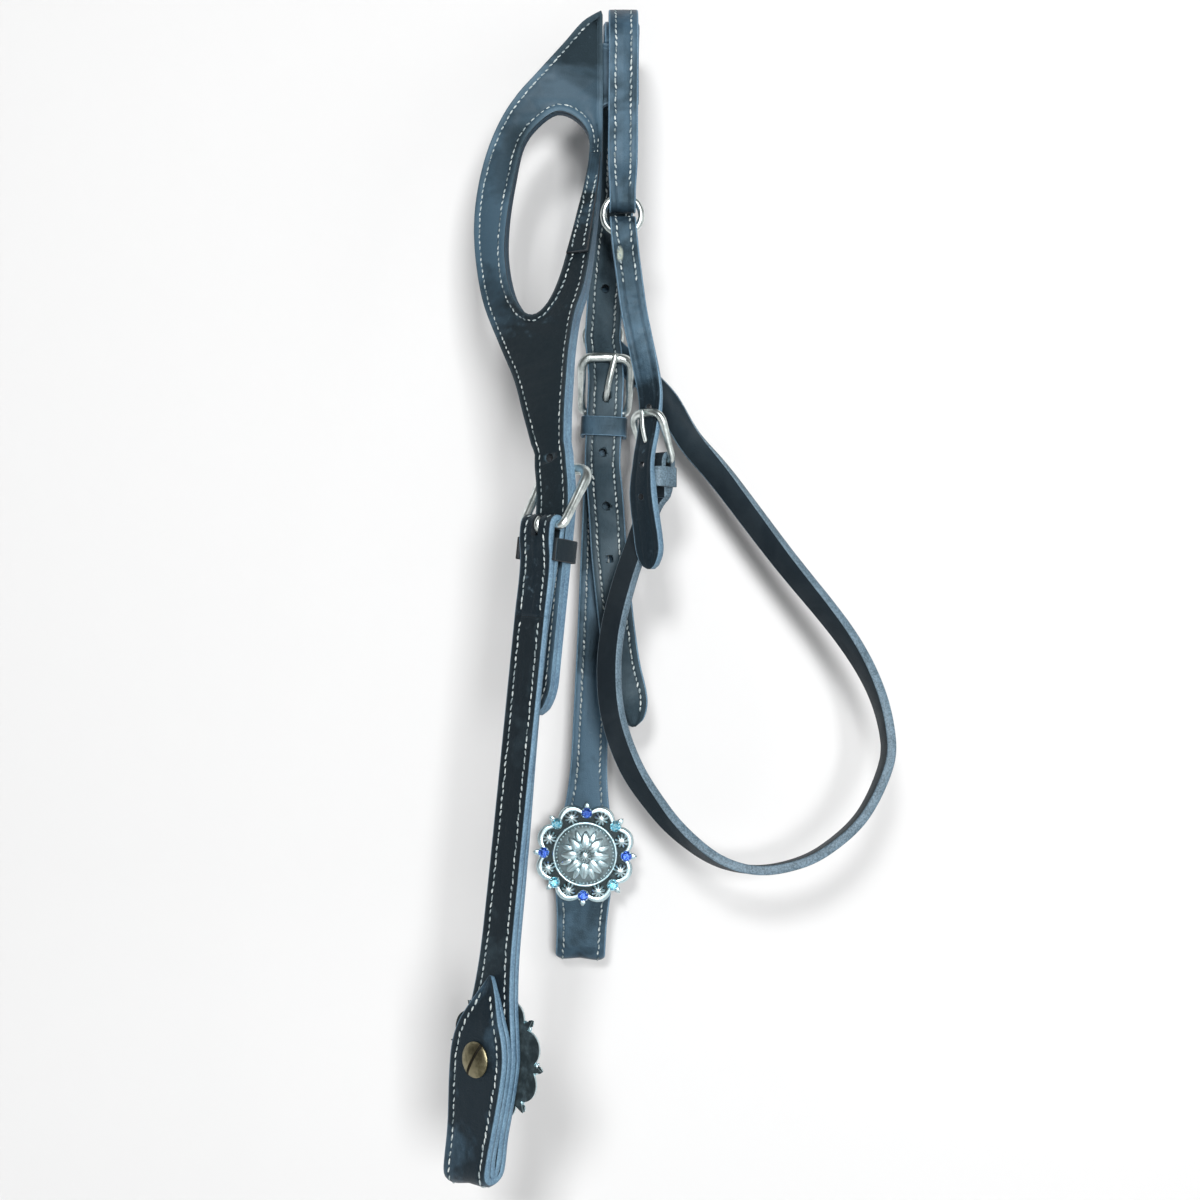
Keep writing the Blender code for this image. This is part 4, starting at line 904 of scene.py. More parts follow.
def cheek_track(layer):
    """The (y, z) line of one layer of a cheek, from its lap at the buckle to the tip of the flap."""
    bar_low = -0.004
    joined = -0.014
    loop_z = -CHEEK_LENGTH + BIT_LOOP_RADIUS + 2 * LAYER + SEAM
    loop_y = LAYER + SEAM
    loop_top = SCREW_Z - CONCHO_RADIUS - 0.002
    if layer == 0:
        y = -LAYER_STEP
        radius = BIT_LOOP_RADIUS + 1.5 * LAYER + SEAM
        flap_y = FLAP_STEP + LAYER_STEP
        line = [(LAYER_STEP, -LAP_LENGTH - SEAM + 0.00002)]
        line += ease((LAYER_STEP, joined - 0.001), (LAYER_STEP, joined), 1)
        line += ease((LAYER_STEP, joined), (FOLD_RADIUS, bar_low), 4)
        line += turn((0.0, 0.0), FOLD_RADIUS, 0, 180, 12)
        line += ease((-FOLD_RADIUS, bar_low + 0.0005), (-FOLD_RADIUS, bar_low), 1)
        line += ease((-FOLD_RADIUS, bar_low), (y, joined), 4)
    else:
        y = LAYER_STEP
        radius = BIT_LOOP_RADIUS + LAYER / 2
        flap_y = FLAP_STEP - LAYER_STEP
        line = [(y, -LAP_LENGTH - SEAM)]
    wide_from = SCREW_Z + CHEEK_SHAPE[0][0]
    line += [(y, wide_from)]
    line += ease((y, wide_from), (y, loop_top), 16)
    line += ease((y, loop_top), (loop_y - radius, loop_z), 5)
    line += turn((loop_y, loop_z), radius, 180, 360, 9)[1:]
    line += ease((loop_y + radius, loop_z), (flap_y, loop_top), 5)
    tip = SCREW_Z + FLAP_SHAPE[0][0] - (SEAM if layer else 0.0)
    line += ease((flap_y, loop_top), (flap_y, tip - 0.018), 10)
    line += ease((flap_y, tip - 0.018), (flap_y - (0.0008 if layer else 0.0023), tip), 9)
    return line


def cheek_strap(side_frame, layer):
    """A cheek layer as a strap in the row frame."""
    track = cheek_track(layer)
    lowest = min(range(len(track)), key=lambda i: track[i][1])
    tables = (smooth_table(CHEEK_SHAPE), smooth_table(FLAP_SHAPE))
    widths = [straight(tables[1] if i > lowest else tables[0], z - SCREW_Z) for i, (_, z) in enumerate(track)]
    slant = side_frame[0][0] < 0.0
    low = [soft_step((SCREW_Z - 0.020 - z) / 0.028) if slant else 0.0 for _, z in track]
    points = [side_frame @ Vector((0.0, y, z + 0.0023 * share)) for (y, z), share in zip(track, low)]
    sides = [side_frame.to_3x3() @ Vector((1.0, 0.0, -0.21 * share)).normalized() for share in low]
    return Strap(points, sides, widths)

# %% [markdown]
# ## Folds and cuts
# Leather that is folded sharply is pressed in at its corners. Slots and holes are cut with a tool shape and
# a Boolean modifier, which is applied at once: the cut walls then get a dark edge finish, painted shade.

# %% Folds and cuts


def fold_dent(strap, way):
    """Presses the middle and the corners of the bottom fold in a little."""
    lowest = min(range(len(strap.rows)), key=lambda i: strap.rows[i][0].z)
    low_at = strap.length * lowest / (len(strap.rows) - 1)
    half = strap.rows[lowest][2] / 2

    def wave(at):
        size = exp(-((at - low_at) / 0.006) ** 2)

        def depth(x):
            return way * size * (0.0010 * exp(-(x / 0.005) ** 2) + 0.0016 * abs(x / half) ** 7)
        return depth
    return wave


def pared(left):
    """How much of its thickness a flap has near its thinned tip."""
    return 0.42 + 0.58 * soft_step(left / 0.018)


def settle(made):
    """Makes a piece's modifiers part of its mesh."""
    graph = bpy.context.evaluated_depsgraph_get()
    mesh = bpy.data.meshes.new_from_object(made.evaluated_get(graph), depsgraph=graph)
    made.modifiers.clear()
    made.data = mesh
    return made


def rod(shape, place, radius, length, segments=24):
    """A plain rod along Y of a frame, as a tool that cuts holes."""
    bmesh.ops.create_cone(shape, cap_ends=True, segments=segments, radius1=radius, radius2=radius,
                          depth=length, matrix=place @ Matrix.Rotation(pi / 2, 4, "X"))


def punch(made, tool_shape):
    """Cuts holes in a piece with a tool, and gives their walls the dark edge finish, painted shade."""
    mesh = bpy.data.meshes.new("tool")
    tool_shape.to_mesh(mesh)
    tool_shape.free()
    mesh.materials.append(painted_shade_edge)
    tool = bpy.data.objects.new("tool", mesh)
    link(tool)
    cut = made.modifiers.new("holes", "BOOLEAN")
    cut.object = tool
    cut.solver = "EXACT"
    cut.material_mode = "TRANSFER"
    settle(made)
    bpy.data.objects.remove(tool)


# %% [markdown]
# ## The two cheeks
# The outer layer has a slot at the heel bar, where the tongue is wrapped round it. Both cheeks come from
# one function: on the object they are the same piece, hung the other way round.

# %% The two cheeks
SLOT_SIZE = (0.0034, 0.020, 0.011)


def cheek(side, side_frame, body):
    """Both layers of a cheek and their stitching; gives the outer layer's length."""
    outer = cheek_strap(side_frame, 0)
    made = strap_piece(side + "_cheek_leather", outer, LAYER, 0.0, 1, OUTER_FINISH, body, "black_leather",
                       [side + "_cheek_outer"], waves=fold_dent(outer, -1), thin=pared)
    tool = bmesh.new()
    bmesh.ops.create_cube(tool, size=1.0, matrix=side_frame @ Matrix.Translation((0.0, 0.0, 0.001))
                          @ Matrix.Diagonal((*SLOT_SIZE, 1.0)))
    punch(made, tool)
    inner = cheek_strap(side_frame, 1)
    strap_piece(side + "_cheek_back", inner, LAYER, 0.0, -1, LINING_FINISH, body, "lining_leather",
                [side + "_cheek_lining"], waves=fold_dent(inner, 1), thin=pared)
    proud = LAYER / 2 - 0.0001
    rows = stitch_rows(outer, proud, 1, 0.002, outer.length - 0.004)
    rows += stitch_rows(inner, proud, -1, 0.002, CHEEK_LENGTH - LAP_LENGTH - 0.016)
    piece(side + "_cheek_thread", sewn(rows), [thread], body)
    return outer.length


for side, side_frame in (("near", near_frame), ("off", off_frame)):
    print(side, "cheek:", round(cheek(side, side_frame, side + "_cheek") * 1000), "mm of leather")

# %% [markdown]
# ## The hanger of the throat latch
# A second doubled strap lies over the crown, on top of the first. Each end is folded round a ring, and its
# lap is sewn between the two layers. The throat latch hangs from these rings.

# %% The hanger


def hanger_x(y, z):
    """The hanger leans to the left behind the crown strap, on its way to the second ring."""
    ring, limit = (RING_1, 1.0) if y < 0.0 else (RING_2, 1.2)
    return HANGER_X + (ring.x - HANGER_X) * min(max((ARCH - z) / (ARCH - ring.z), 0.0), limit)


def hanger_width(y, z):
    """The hanger narrows a little where it folds round a ring."""
    low, narrow = (RING_1.z, HANGER_FOLD_WIDTH) if y < 0.0 else (RING_2.z, PINCHED_WIDTH)
    return narrow + (HANGER_WIDTH - narrow) * min(max((z - low - 0.010) / 0.012, 0.0), 1.0)


def ring_fold(ring, out):
    """The hanger's (y, z) line round a ring, from the end of its lap: out is -1 in front and 1 behind."""
    fold_z = ring.z + (RING_FOLD_HEIGHT if out < 0 else PINCHED_FOLD_HEIGHT)
    line = [(-out * LAYER_STEP, ring.z + HANGER_LAP)]
    line += ease((-out * LAYER_STEP, ring.z + HANGER_LAP - 0.003), (-out * HANGER_FOLD, ring.z + 0.0103), 4)
    line += [(-out * p, z) for p, z in turn((0.0, fold_z), HANGER_FOLD, 0, -180, 12)]
    line += [(out * HANGER_FOLD, ring.z + 0.0103)]
    line += ease((out * HANGER_FOLD, ring.z + 0.0103), (out * LAYER_STEP, ring.z + HANGER_LAP + 0.002), 4)
    return [(ring.y + y, z) for y, z in line]


def hanger(track):
    """A hanger layer as a strap."""
    path = [Vector((hanger_x(y, z), y, z)) for y, z in track]
    return Strap(path, across(path), [hanger_width(p.y, p.z) for p in path])


far_y = HANGER_RADIUS + LAYER_STEP
track = ring_fold(RING_1, -1) + [(-far_y, RING_1.z + 0.045)] + turn((0.0, ARCH), far_y, 180, 0, 16)
track += [(far_y, RING_2.z + 0.080), (far_y, RING_2.z + 0.045)] + list(reversed(ring_fold(RING_2, 1)))
hanger_outer = hanger(track)
near_y = HANGER_RADIUS - LAYER_STEP
track = [(-near_y, RING_1.z + HANGER_LAP + SEAM), (-near_y, RING_1.z + 0.045)]
track += turn((0.0, ARCH), near_y, 180, 0, 16)
track += [(near_y, RING_2.z + 0.080), (near_y, RING_2.z + 0.045), (near_y, RING_2.z + HANGER_LAP + SEAM)]
hanger_inner = hanger(track)
strap_piece("hanger_leather", hanger_outer, LAYER, 0.0, -1, OUTER_FINISH, "crown", "black_leather",
            ["throat_hanger_outer"])
strap_piece("hanger_back", hanger_inner, LAYER, 0.0, 1, LINING_FINISH, "crown", "lining_leather",
            ["throat_hanger_lining"])
rows = stitch_rows(hanger_outer, LAYER / 2 - 0.0001, -1, 0.033, hanger_outer.length - 0.033)
rows += stitch_rows(hanger_inner, LAYER / 2 - 0.0001, 1, 0.002, hanger_inner.length - 0.002)
piece("hanger_thread", sewn(rows), [thread], "crown")
print("hanger:", round(hanger_outer.length * 1000), "mm")

# %% [markdown]
# ## The throat latch
# The throat latch is a narrower strap of one layer. A short billet hangs from the front ring and goes
# through the small buckle. The long strap starts at the back ring, hangs in a loop and comes up to the same
# buckle.

# %% The throat latch billet
BILLET_LINE = [(RING_1.z, RING_1.x), (-0.0920, 0.0014), (-0.1050, 0.0030), (-0.1240, 0.0056)]
FRONT_LINE = [(-0.1370, 8.2, -17.2, -3), (-0.1500, 11.0, -16.6, -14), (-0.1600, 12.8, -15.6, -28),
              (-0.1690, 12.8, -14.3, -42), (-0.1750, 12.1, -14.6, -44), (-0.1810, 11.0, -16.0, -44),
              (-0.1860, 10.1, -17.8, -44), (-0.1910, 9.6, -19.0, -44), (-0.1970, 9.4, -19.7, -43),
              (-0.2020, 9.5, -19.9, -42), (-0.2070, 9.9, -19.8, -40), (-0.2140, 10.8, -19.6, -38),
              (-0.2200, 11.6, -19.4, -36), (-0.2235, 12.0, -19.3, -36), (-0.2260, 12.3, -19.3, -36),
              (-0.2285, 12.5, -19.2, -36), (-0.2305, 12.6, -19.2, -36), (-0.2325, 12.8, -19.2, -36),
              (-0.2338, 12.9, -19.2, -36), (-0.2345, 12.9, -19.2, -36)]
front_y = RING_1.y - LATCH_STEP
back_y = RING_1.y + LATCH_STEP
lap_end = -0.1240
track = [(back_y, lap_end), (back_y, -0.1140)]
track += ease((back_y, RING_1.z - 0.0200), (RING_1.y + LATCH_RING_FOLD, RING_1.z - 0.0103), 4)
track += turn((RING_1.y, RING_1.z - RING_FOLD_HEIGHT), LATCH_RING_FOLD, 0, 180, 12)
track += [(RING_1.y - LATCH_RING_FOLD, RING_1.z - 0.0103)]
track += ease((RING_1.y - LATCH_RING_FOLD, RING_1.z - 0.0103), (front_y, RING_1.z - 0.0200), 4)
track += [(front_y, -0.1140), (front_y, lap_end)]
billet_path = [Vector((straight(BILLET_LINE, z), y, z)) for y, z in track]
billet_path += [Vector((x / 1000, y / 1000, z)) for z, x, y, _ in FRONT_LINE]
billet_widths = []
for point in billet_path:
    left = point.z + 0.2345
    width = LATCH_WIDTH * (1 + 0.16 * soft_step((0.045 - left) / 0.012))
    billet_widths.append(tip_width(width, left * 1.25) if left < 0.0105 else width)
billet_sides = across(billet_path)
for k, (_, _, _, angle) in enumerate(FRONT_LINE):
    i = len(track) + k
    billet_sides[i] = Matrix.Rotation(radians(angle), 3, "Z") @ billet_sides[i]
throat_billet = Strap(billet_path, billet_sides, billet_widths)


def tail_thickness(left):
    """The billet swells towards its tail, which has curled and shows more of its edge."""
    return 1 + 0.5 * soft_step((0.045 - left) / 0.014)


billet_piece = strap_piece("throat_billet_leather", throat_billet, LATCH_STRAP, 0.0, 1, OUTER_FINISH,
                           "throat_latch", "black_leather", ["throat_billet"],
                           waves=wrinkles(0.060, 0.105, 0.0002, 0.0034, 5), joined=False, thin=tail_thickness)
rows = stitch_rows(throat_billet, LATCH_STRAP / 2 - 0.0001, 1, 0.038, 0.071)
piece("throat_billet_thread", sewn(rows), [thread], "throat_latch")
print("throat latch billet:", round(throat_billet.length * 1000), "mm")

# %% [markdown]
# ## The long strap of the throat latch
# The strap hangs in a loop, turned on its edge at the side and flat at the bottom. Its line is a list of
# places, each with the angle by which the strap has turned there. It ends in a fold round the throat
# buckle's heel bar.

# %% The long strap of the throat latch
LOOP = [(13.5, 9.0, -151.6, 0), (21.2, 6.5, -160.6, 3), (30.8, 2.0, -177.7, 12),
        (44.8, -3.0, -195.1, 30), (69.8, -10.0, -229.3, 44), (94.8, -16.0, -261.7, 58),
        (107.2, -20.0, -284.2, 74), (112.3, -23.0, -304.5, 84), (110.9, -24.0, -318.9, 88),
        (101.2, -25.0, -338.3, 92), (87.1, -25.0, -351.5, 94), (73.4, -24.0, -358.6, 96),
        (56.7, -23.0, -361.3, 99), (40.2, -22.0, -357.1, 108), (24.7, -20.0, -345.8, 120),
        (13.3, -18.0, -332.6, 130), (4.0, -17.0, -317.8, 138), (-2.8, -16.0, -298.8, 140),
        (-4.9, -15.0, -279.6, 140), (-3.2, -14.0, -259.6, 138), (2.0, -12.0, -239.0, 137),
        (7.2, -10.5, -223.9, 136), (13.2, -8.8, -207.0, 136)]
controls = [Vector((x / 1000, y / 1000, z / 1000, radians(angle))) for x, y, z, angle in LOOP]
controls.append(Vector((*(latch_frame @ Vector((0.0, LATCH_STEP, -0.0125))), pi + LATCH_YAW)))
loop = through(controls, 3)
path = [p.to_3d() for p in loop]
sides = []
for i, point in enumerate(path):
    along = along_at(path, i)
    outward = along.cross(Y_AXIS).normalized()
    side = outward * cos(loop[i].w) - Y_AXIS * sin(loop[i].w)
    sides.append((side - along * side.dot(along)).normalized())
track = ease((LATCH_STEP, -0.0125), (LATCH_FOLD, -0.0035), 4) + turn((0.0, 0.0), LATCH_FOLD, 0, 180, 12)
track += ease((-LATCH_FOLD, -0.0030), (-LATCH_FOLD, -0.0035), 1)
track += ease((-LATCH_FOLD, -0.0035), (-LATCH_STEP, -0.0125), 4) + [(-LATCH_STEP, -0.0155)]
path += [latch_frame @ Vector((0.0, y, z)) for y, z in track]
sides += [latch_frame.to_3x3() @ X_AXIS] * len(track)
down = path[0] - RING_2
turned_by = -atan2(down.x, -down.z)
sides[0] = Matrix.Rotation(turned_by, 3, "Y") @ X_AXIS
throat_strap = Strap(path, sides, [LATCH_WIDTH] * len(path))


def plump(left):
    """The old strap has swelled between its two ends."""
    return 1 + 0.6 * soft_step(left / 0.09) * soft_step((throat_strap.length - left) / 0.06)


# Both faces take the dark flesh leather: real on the flesh side, and painted shade on the grain side.
strap_piece("throat_strap_leather", throat_strap, LATCH_STRAP, 0.0, -1,
            [flesh_leather, latch_edge, flesh_leather], "throat_latch", "black_leather", ["throat_strap"],
            relief=0.0, joined=False, thin=plump)
print("throat latch strap:", round(throat_strap.length * 1000), "mm")

# %% [markdown]
# ## The end round the back ring
# The strap begins as a short fold round the back ring. It is a piece of its own, because the strap swings
# with the front ring and this fold with the back one.

# %% The end round the back ring
reach = Vector((down.x, 0.0, down.z)).length
stub_frame = Matrix.Translation(RING_2) @ Matrix.Rotation(turned_by, 4, "Y")
track = [(LATCH_STEP, -0.0260), (LATCH_STEP, -0.0220)]
track += ease((LATCH_STEP, -0.0200), (LATCH_RING_FOLD, -0.0103), 4)
track += turn((0.0, -PINCHED_FOLD_HEIGHT), LATCH_RING_FOLD, 0, 180, 12)
track += [(-LATCH_RING_FOLD, -0.0103)]
track += ease((-LATCH_RING_FOLD, -0.0103), (-LATCH_STEP, -0.0190), 4)
track += ease((-LATCH_STEP, -0.0190), (down.y, -reach + 0.0001), 4)
widths = []
for _, z in track:
    open_share = min(max((-z - 0.010) / 0.010, 0.0), 1.0)
    widths.append(PINCHED_WIDTH + (LATCH_WIDTH - PINCHED_WIDTH) * open_share)
strap_end = Strap([stub_frame @ Vector((0.0, y, z)) for y, z in track],
                  [stub_frame.to_3x3() @ X_AXIS] * len(track), widths)
strap_piece("throat_strap_end_leather", strap_end, LATCH_STRAP, 0.0, 1, OUTER_FINISH, "ring_2_body",
            "black_leather", ["throat_strap_end"], relief=0.0, joined=False)
print("end round the back ring:", round(strap_end.length * 1000), "mm")

# %% [markdown]
# ## The ear piece
# The ear piece is cut flat from two layers of leather, with an opening for the ear, and its lower end
# narrows to the off billet. It turns by forty degrees on its way down. Modelled where it hangs, its borders
# would change in width. So its outline is moved to the flat pattern, and every point is rolled into place
# later.

# %% Where the flat pattern of the ear piece lies
EAR_TURN = pi - OFF_TURN
EAR_TOP = Vector((-0.0088, -(CROWN_RADIUS + 2 * LAYER_STEP), ARCH - CROWN_LAP))
EAR_END = off_frame @ Vector((straight(off_sway, BEND_HEIGHT), BILLET_Y, BEND_HEIGHT + SEAM))
EAR_LEFT = [(-8.3, 3.7), (-16.1, -1.0), (-24.0, -10.0), (-35.5, -22.6), (-46.0, -34.7), (-53.9, -49.5),
            (-59.0, -67.0), (-61.2, -88.0), (-59.3, -109.4), (-55.0, -128.0), (-47.5, -146.5),
            (-41.0, -162.0), (-37.4, -175.0)]
EAR_RIGHT = [(-20.9, -176.0), (-20.4, -166.0), (-19.6, -152.0), (-17.6, -136.5), (-14.3, -124.5),
             (-12.0, -108.4), (-10.0, -89.3), (-8.6, -74.0), (-7.9, -57.3), (-7.7, -35.5)]
EAR_HOLE = [(-27.0, -39.0), (-35.6, -44.9), (-41.6, -54.0), (-45.0, -70.0), (-47.5, -88.0), (-47.7, -106.0),
            (-44.4, -122.7), (-38.5, -132.6), (-33.0, -134.6), (-27.6, -129.0), (-23.2, -116.8),
            (-19.0, -96.2), (-15.4, -78.0), (-13.0, -62.0), (-13.3, -50.0), (-18.5, -42.2)]


def ear_middle(z):
    """The middle of the ear piece at a height: its x, its y and how far it is turned."""
    if z < EAR_END.z:
        local = (z - off_frame.translation.z) / off_frame[2][2]
        place = off_frame @ Vector((straight(off_sway, local), BILLET_Y, local))
        return place.x, place.y, EAR_TURN
    t = min(max((EAR_TOP.z - z) / (EAR_TOP.z - EAR_END.z), 0.0), 1.0)
    return (EAR_TOP.x + (EAR_END.x - EAR_TOP.x) * t, EAR_TOP.y + (EAR_END.y - EAR_TOP.y) * soft_step(t),
            EAR_TURN * soft_step(1.15 * t))


def ear_depth(x, z):
    middle_x, middle_y, angle = ear_middle(z)
    return middle_y - tan(angle) * (x - middle_x)


def ear_flat(x, z):
    """Where a place of the front view lies on the flat pattern."""
    middle_x, _, angle = ear_middle(z)
    return Vector(((x - middle_x) / cos(angle), z))


def ear_place(s, z, distance):
    """Where a place of the flat pattern lies in the headstall, at a distance towards the viewer."""
    middle_x, _, angle = ear_middle(z)
    x = middle_x + s * cos(angle)
    step = 0.0005
    slope_x = (ear_depth(x + step, z) - ear_depth(x - step, z)) / (2 * step)
    slope_z = (ear_depth(x, z + step) - ear_depth(x, z - step)) / (2 * step)
    return Vector((x, ear_depth(x, z), z)) + Vector((slope_x, -1.0, slope_z)).normalized() * distance


# %% [markdown]
# ## The cut of the ear piece
# The outline runs down the left side, round the tip of the off billet and up the right side. Loops at
# growing distances run along it and round the opening, so that border and channel stay parallel to the
# edges.

# %% The cut of the ear piece
BORDER = [(0.0, 0.0), (0.0008, 0.00005), (0.0016, 0.00005), (0.0021, -0.00018), (0.0026, -0.00018),
          (0.0032, 0.0)]
HOLE_BORDER = [(0.0, 0.00020), (0.0008, 0.00035), (0.0018, 0.00030), (0.0025, -0.00005), (0.0030, -0.00025),
               (0.0037, 0.0)]
OUTLINE_STEP = 0.0022
TAB_RIGHT = 0.0160
TAB_LEFT = 0.0012


def spaced(points, step):
    """A closed line with its points at even steps."""
    ring = points + [points[0]]
    total = sum((b - a).length for a, b in zip(ring, ring[1:]))
    count = round(total / step)
    made, k, walked = [], 0, 0.0
    for i in range(count):
        at = total * i / count
        while walked + (ring[k + 1] - ring[k]).length < at:
            walked += (ring[k + 1] - ring[k]).length
            k += 1
        made.append(ring[k].lerp(ring[k + 1], (at - walked) / max((ring[k + 1] - ring[k]).length, 1e-9)))
    return made


def inward(points):
    """The direction square to a closed line at each point, towards its inside."""
    area = sum(a.x * b.y - b.x * a.y for a, b in zip(points, points[1:] + points[:1]))
    made = []
    for i in range(len(points)):
        along = (points[(i + 1) % len(points)] - points[i - 1]).normalized()
        made.append(Vector((-along.y, along.x)) * copysign(1.0, area))
    return made


def billet_shape(tail):
    """Heights and widths of a billet below its bend."""
    heights = [0.030, 0.024, 0.015, 0.000, -0.015, -0.030, -0.045, -tail + 0.013]
    heights += [-tail + 0.013 * (1 - k / 6) for k in range(1, 7)]
    return heights, [tip_width(CHEEK_WIDTH, z + tail) for z in heights]


def ear_outline(tab):
    """The outline of one layer, with the off billet, as it was cut."""
    half_way = off_frame.to_3x3() @ X_AXIS
    left, right = [], []
    for z, width in zip(*billet_shape(OFF_TAIL)):
        middle = off_frame @ Vector((straight(off_sway, z), BILLET_Y, z))
        left.append(ear_flat((middle + half_way * (width / 2)).x, middle.z))
        right.append(ear_flat((middle - half_way * (width / 2)).x, middle.z))
    left = through([ear_flat(x / 1000, z / 1000) for x, z in EAR_LEFT] + left, 4)
    right = through(list(reversed(right)) + [ear_flat(x / 1000, z / 1000) for x, z in EAR_RIGHT], 4)
    outline = left + right
    if tab:
        low, high = ARCH - CROWN_LAP, ARCH - SEAM
        outline += [Vector(corner) for corner in ((TAB_RIGHT, low), (TAB_RIGHT, high), (TAB_LEFT, high))]
    return outline + [ear_flat(-0.0077, 0.0033)]


def ear_loops(tab):
    """Loops along the outline and round the opening, each with its distance and its relief."""
    outline = spaced(ear_outline(tab), OUTLINE_STEP)
    hole_points = [ear_flat(x / 1000, z / 1000) for x, z in EAR_HOLE]
    ring = [hole_points[-1]] + hole_points + hole_points[:2]
    hole = spaced(through(ring, 6)[6:-7], OUTLINE_STEP)
    made = []
    for line, other, border, way in ((outline, hole, BORDER, 1.0), (hole, outline, HOLE_BORDER, -1.0)):
        normals = inward(line)
        room = [min(1.0, min((p - q).length for q in other) * 0.44 / border[-1][0]) for p in line]
        made.append([([p + n * (way * d * r) for p, n, r in zip(line, normals, room)], d, h)
                     for d, h in border])
    return made


print("points along the outline:", len(spaced(ear_outline(True), OUTLINE_STEP)))

# %% [markdown]
# ## One layer of the ear piece
# Neighbouring loops are bridged and the middle is filled. Cuts across it give the filled part enough points
# to bend. Only then is the sheet rolled into place, and Solidify and Bevel make it leather.

# %% The two layers of the ear piece
CUTS = 34
FIRST_CUT = -0.020
CUT_STEP = 0.0065


def loops_to_sheet(shape, tab):
    """Bridges the loops, fills the middle and cuts it across."""
    edge_layer = shape.verts.layers.float.new("edge")
    high_layer = shape.verts.layers.float.new("height")
    last = []
    for loops in ear_loops(tab):
        edges_before = None
        for points, d, h in loops:
            ring = [shape.verts.new((p.x, 0.0, p.y)) for p in points]
            for vert in ring:
                vert[edge_layer] = d
                vert[high_layer] = h
            edges = [shape.edges.new((a, b)) for a, b in zip(ring, ring[1:] + ring[:1])]
            if edges_before:
                bmesh.ops.bridge_loops(shape, edges=edges_before + edges)
            edges_before = edges
        last += edges_before
    bmesh.ops.triangle_fill(shape, use_beauty=True, edges=last, normal=(0.0, -1.0, 0.0))
    for k in range(CUTS):
        everything = shape.verts[:] + shape.edges[:] + shape.faces[:]
        bmesh.ops.bisect_plane(shape, geom=everything, dist=0.0001,
                               plane_co=(0.0, 0.0, FIRST_CUT - CUT_STEP * k), plane_no=(0.0, 0.0, 1.0))
    bmesh.ops.triangulate(shape, faces=[f for f in shape.faces if len(f.verts) > 4])


def ear_layer(name, tab, distance, side, finishes):
    """One layer of leather, rolled into place and given its thickness."""
    shape = bmesh.new()
    uv = shape.loops.layers.uv.new("UVMap")
    loops_to_sheet(shape, tab)
    high_layer = shape.verts.layers.float["height"]
    for face in shape.faces:
        face.smooth = True
        for loop in face.loops:
            loop[uv].uv = (loop.vert.co.x, loop.vert.co.z)
    for vert in shape.verts:
        vert.co = ear_place(vert.co.x, vert.co.z, distance + side * vert[high_layer])
    bmesh.ops.recalc_face_normals(shape, faces=shape.faces)
    made = piece(name, shape, finishes)
    wall = made.modifiers.new("thickness", "SOLIDIFY")
    wall.thickness = LAYER + SEAM - 0.00002
    wall.offset = 0.0
    wall.material_offset_rim = 1
    rounding = made.modifiers.new("rounding", "BEVEL")
    rounding.width = 0.0005
    rounding.segments = 2
    rounding.limit_method = "ANGLE"
    rounding.angle_limit = radians(50)
    rounding.harden_normals = False
    return settle(made)


off_up = off_frame.to_3x3() @ Z_AXIS
OFF_BLEND = (EAR_END + off_up * 0.007, EAR_END - off_up * 0.007)
ear_back = ear_layer("ear_piece_leather", True, -LAYER_STEP, -1, [black_leather, ear_edge])
ear_front = ear_layer("ear_piece_back", False, LAYER_STEP, 1, [ear_leather, ear_edge])
print("ear piece faces:", len(ear_front.data.polygons))

# %% [markdown]
# ## Stitching of the ear piece
# Each layer shows a row of stitches along its outline and one round the opening. They follow the loops in
# the middle of the channel. Where the ear piece lies under the crown strap there are none to see.

# %% Stitching of the ear piece
LAP_LOW = -0.052


def stitch_loop(points, height, hidden_from=inf):
    """Stitches along a closed line of the flat pattern, on the face towards the viewer or away from it."""
    made = []
    dots = spaced(points, STITCH_PITCH)
    way = 1.0 if height > 0 else -1.0
    for i, p in enumerate(dots):
        if p.y > LAP_LOW and p.x > hidden_from:
            continue
        q = dots[(i + 1) % len(dots)]
        here, there = ear_place(p.x, p.y, height), ear_place(q.x, q.y, height)
        normal = (ear_place(p.x, p.y, height + way * 0.001) - here).normalized()
        if (there - here).length > 1.6 * STITCH_PITCH:
            continue
        made.append(stitch_place((here + there) / 2, (there - here).normalized(), normal))
    return made


rows = []
front_high = LAYER_STEP + LAYER / 2 - 0.00012
for tab, height, hidden_from in ((False, front_high, -0.004), (True, -front_high, 0.0095)):
    outline_loops, hole_loops = ear_loops(tab)
    channel = [(a + b) / 2 for a, b in zip(outline_loops[3][0], outline_loops[4][0])]
    rows += stitch_loop(channel, height, hidden_from)
    rows += stitch_loop(hole_loops[3][0], height + copysign(0.00022, height))
ear_thread = piece("ear_piece_thread", sewn(rows), [thread])
print("stitches of the ear piece:", len(rows))

# %% [markdown]
# ## Bent bars
# A heel bar buckle is a bent steel bar: round at the sides and broader over its top. The tongue is a
# thinner bar, wrapped round the heel bar. Both are sections swept along a line. A curve object could do
# that, but its bevel can't be broad in one place and round in another.

# %% Bent bars


def bar(name, line, sizes, flat_way, closed, finish, body, replaces, slot="nickel", around=18):
    """A bar along a line: sizes(i) gives its two half sizes, the first along flat_way."""
    rows = []
    count = len(line)
    for i, point in enumerate(line):
        if closed:
            along = (line[(i + 1) % count] - line[i - 1]).normalized()
        else:
            along = along_at(line, i)
        first = (flat_way - along * flat_way.dot(along)).normalized()
        second = along.cross(first).normalized()
        a, b = sizes(i)
        rows.append([point + first * (a * cos(2 * pi * k / around))
                     + second * (b * sin(2 * pi * k / around)) for k in range(around)])
    shape = roll(rows, [k * 0.0005 for k in range(around)], [i * 0.001 for i in range(count)], [0], closed)
    return piece(name, shape, [finish], body, replaces)


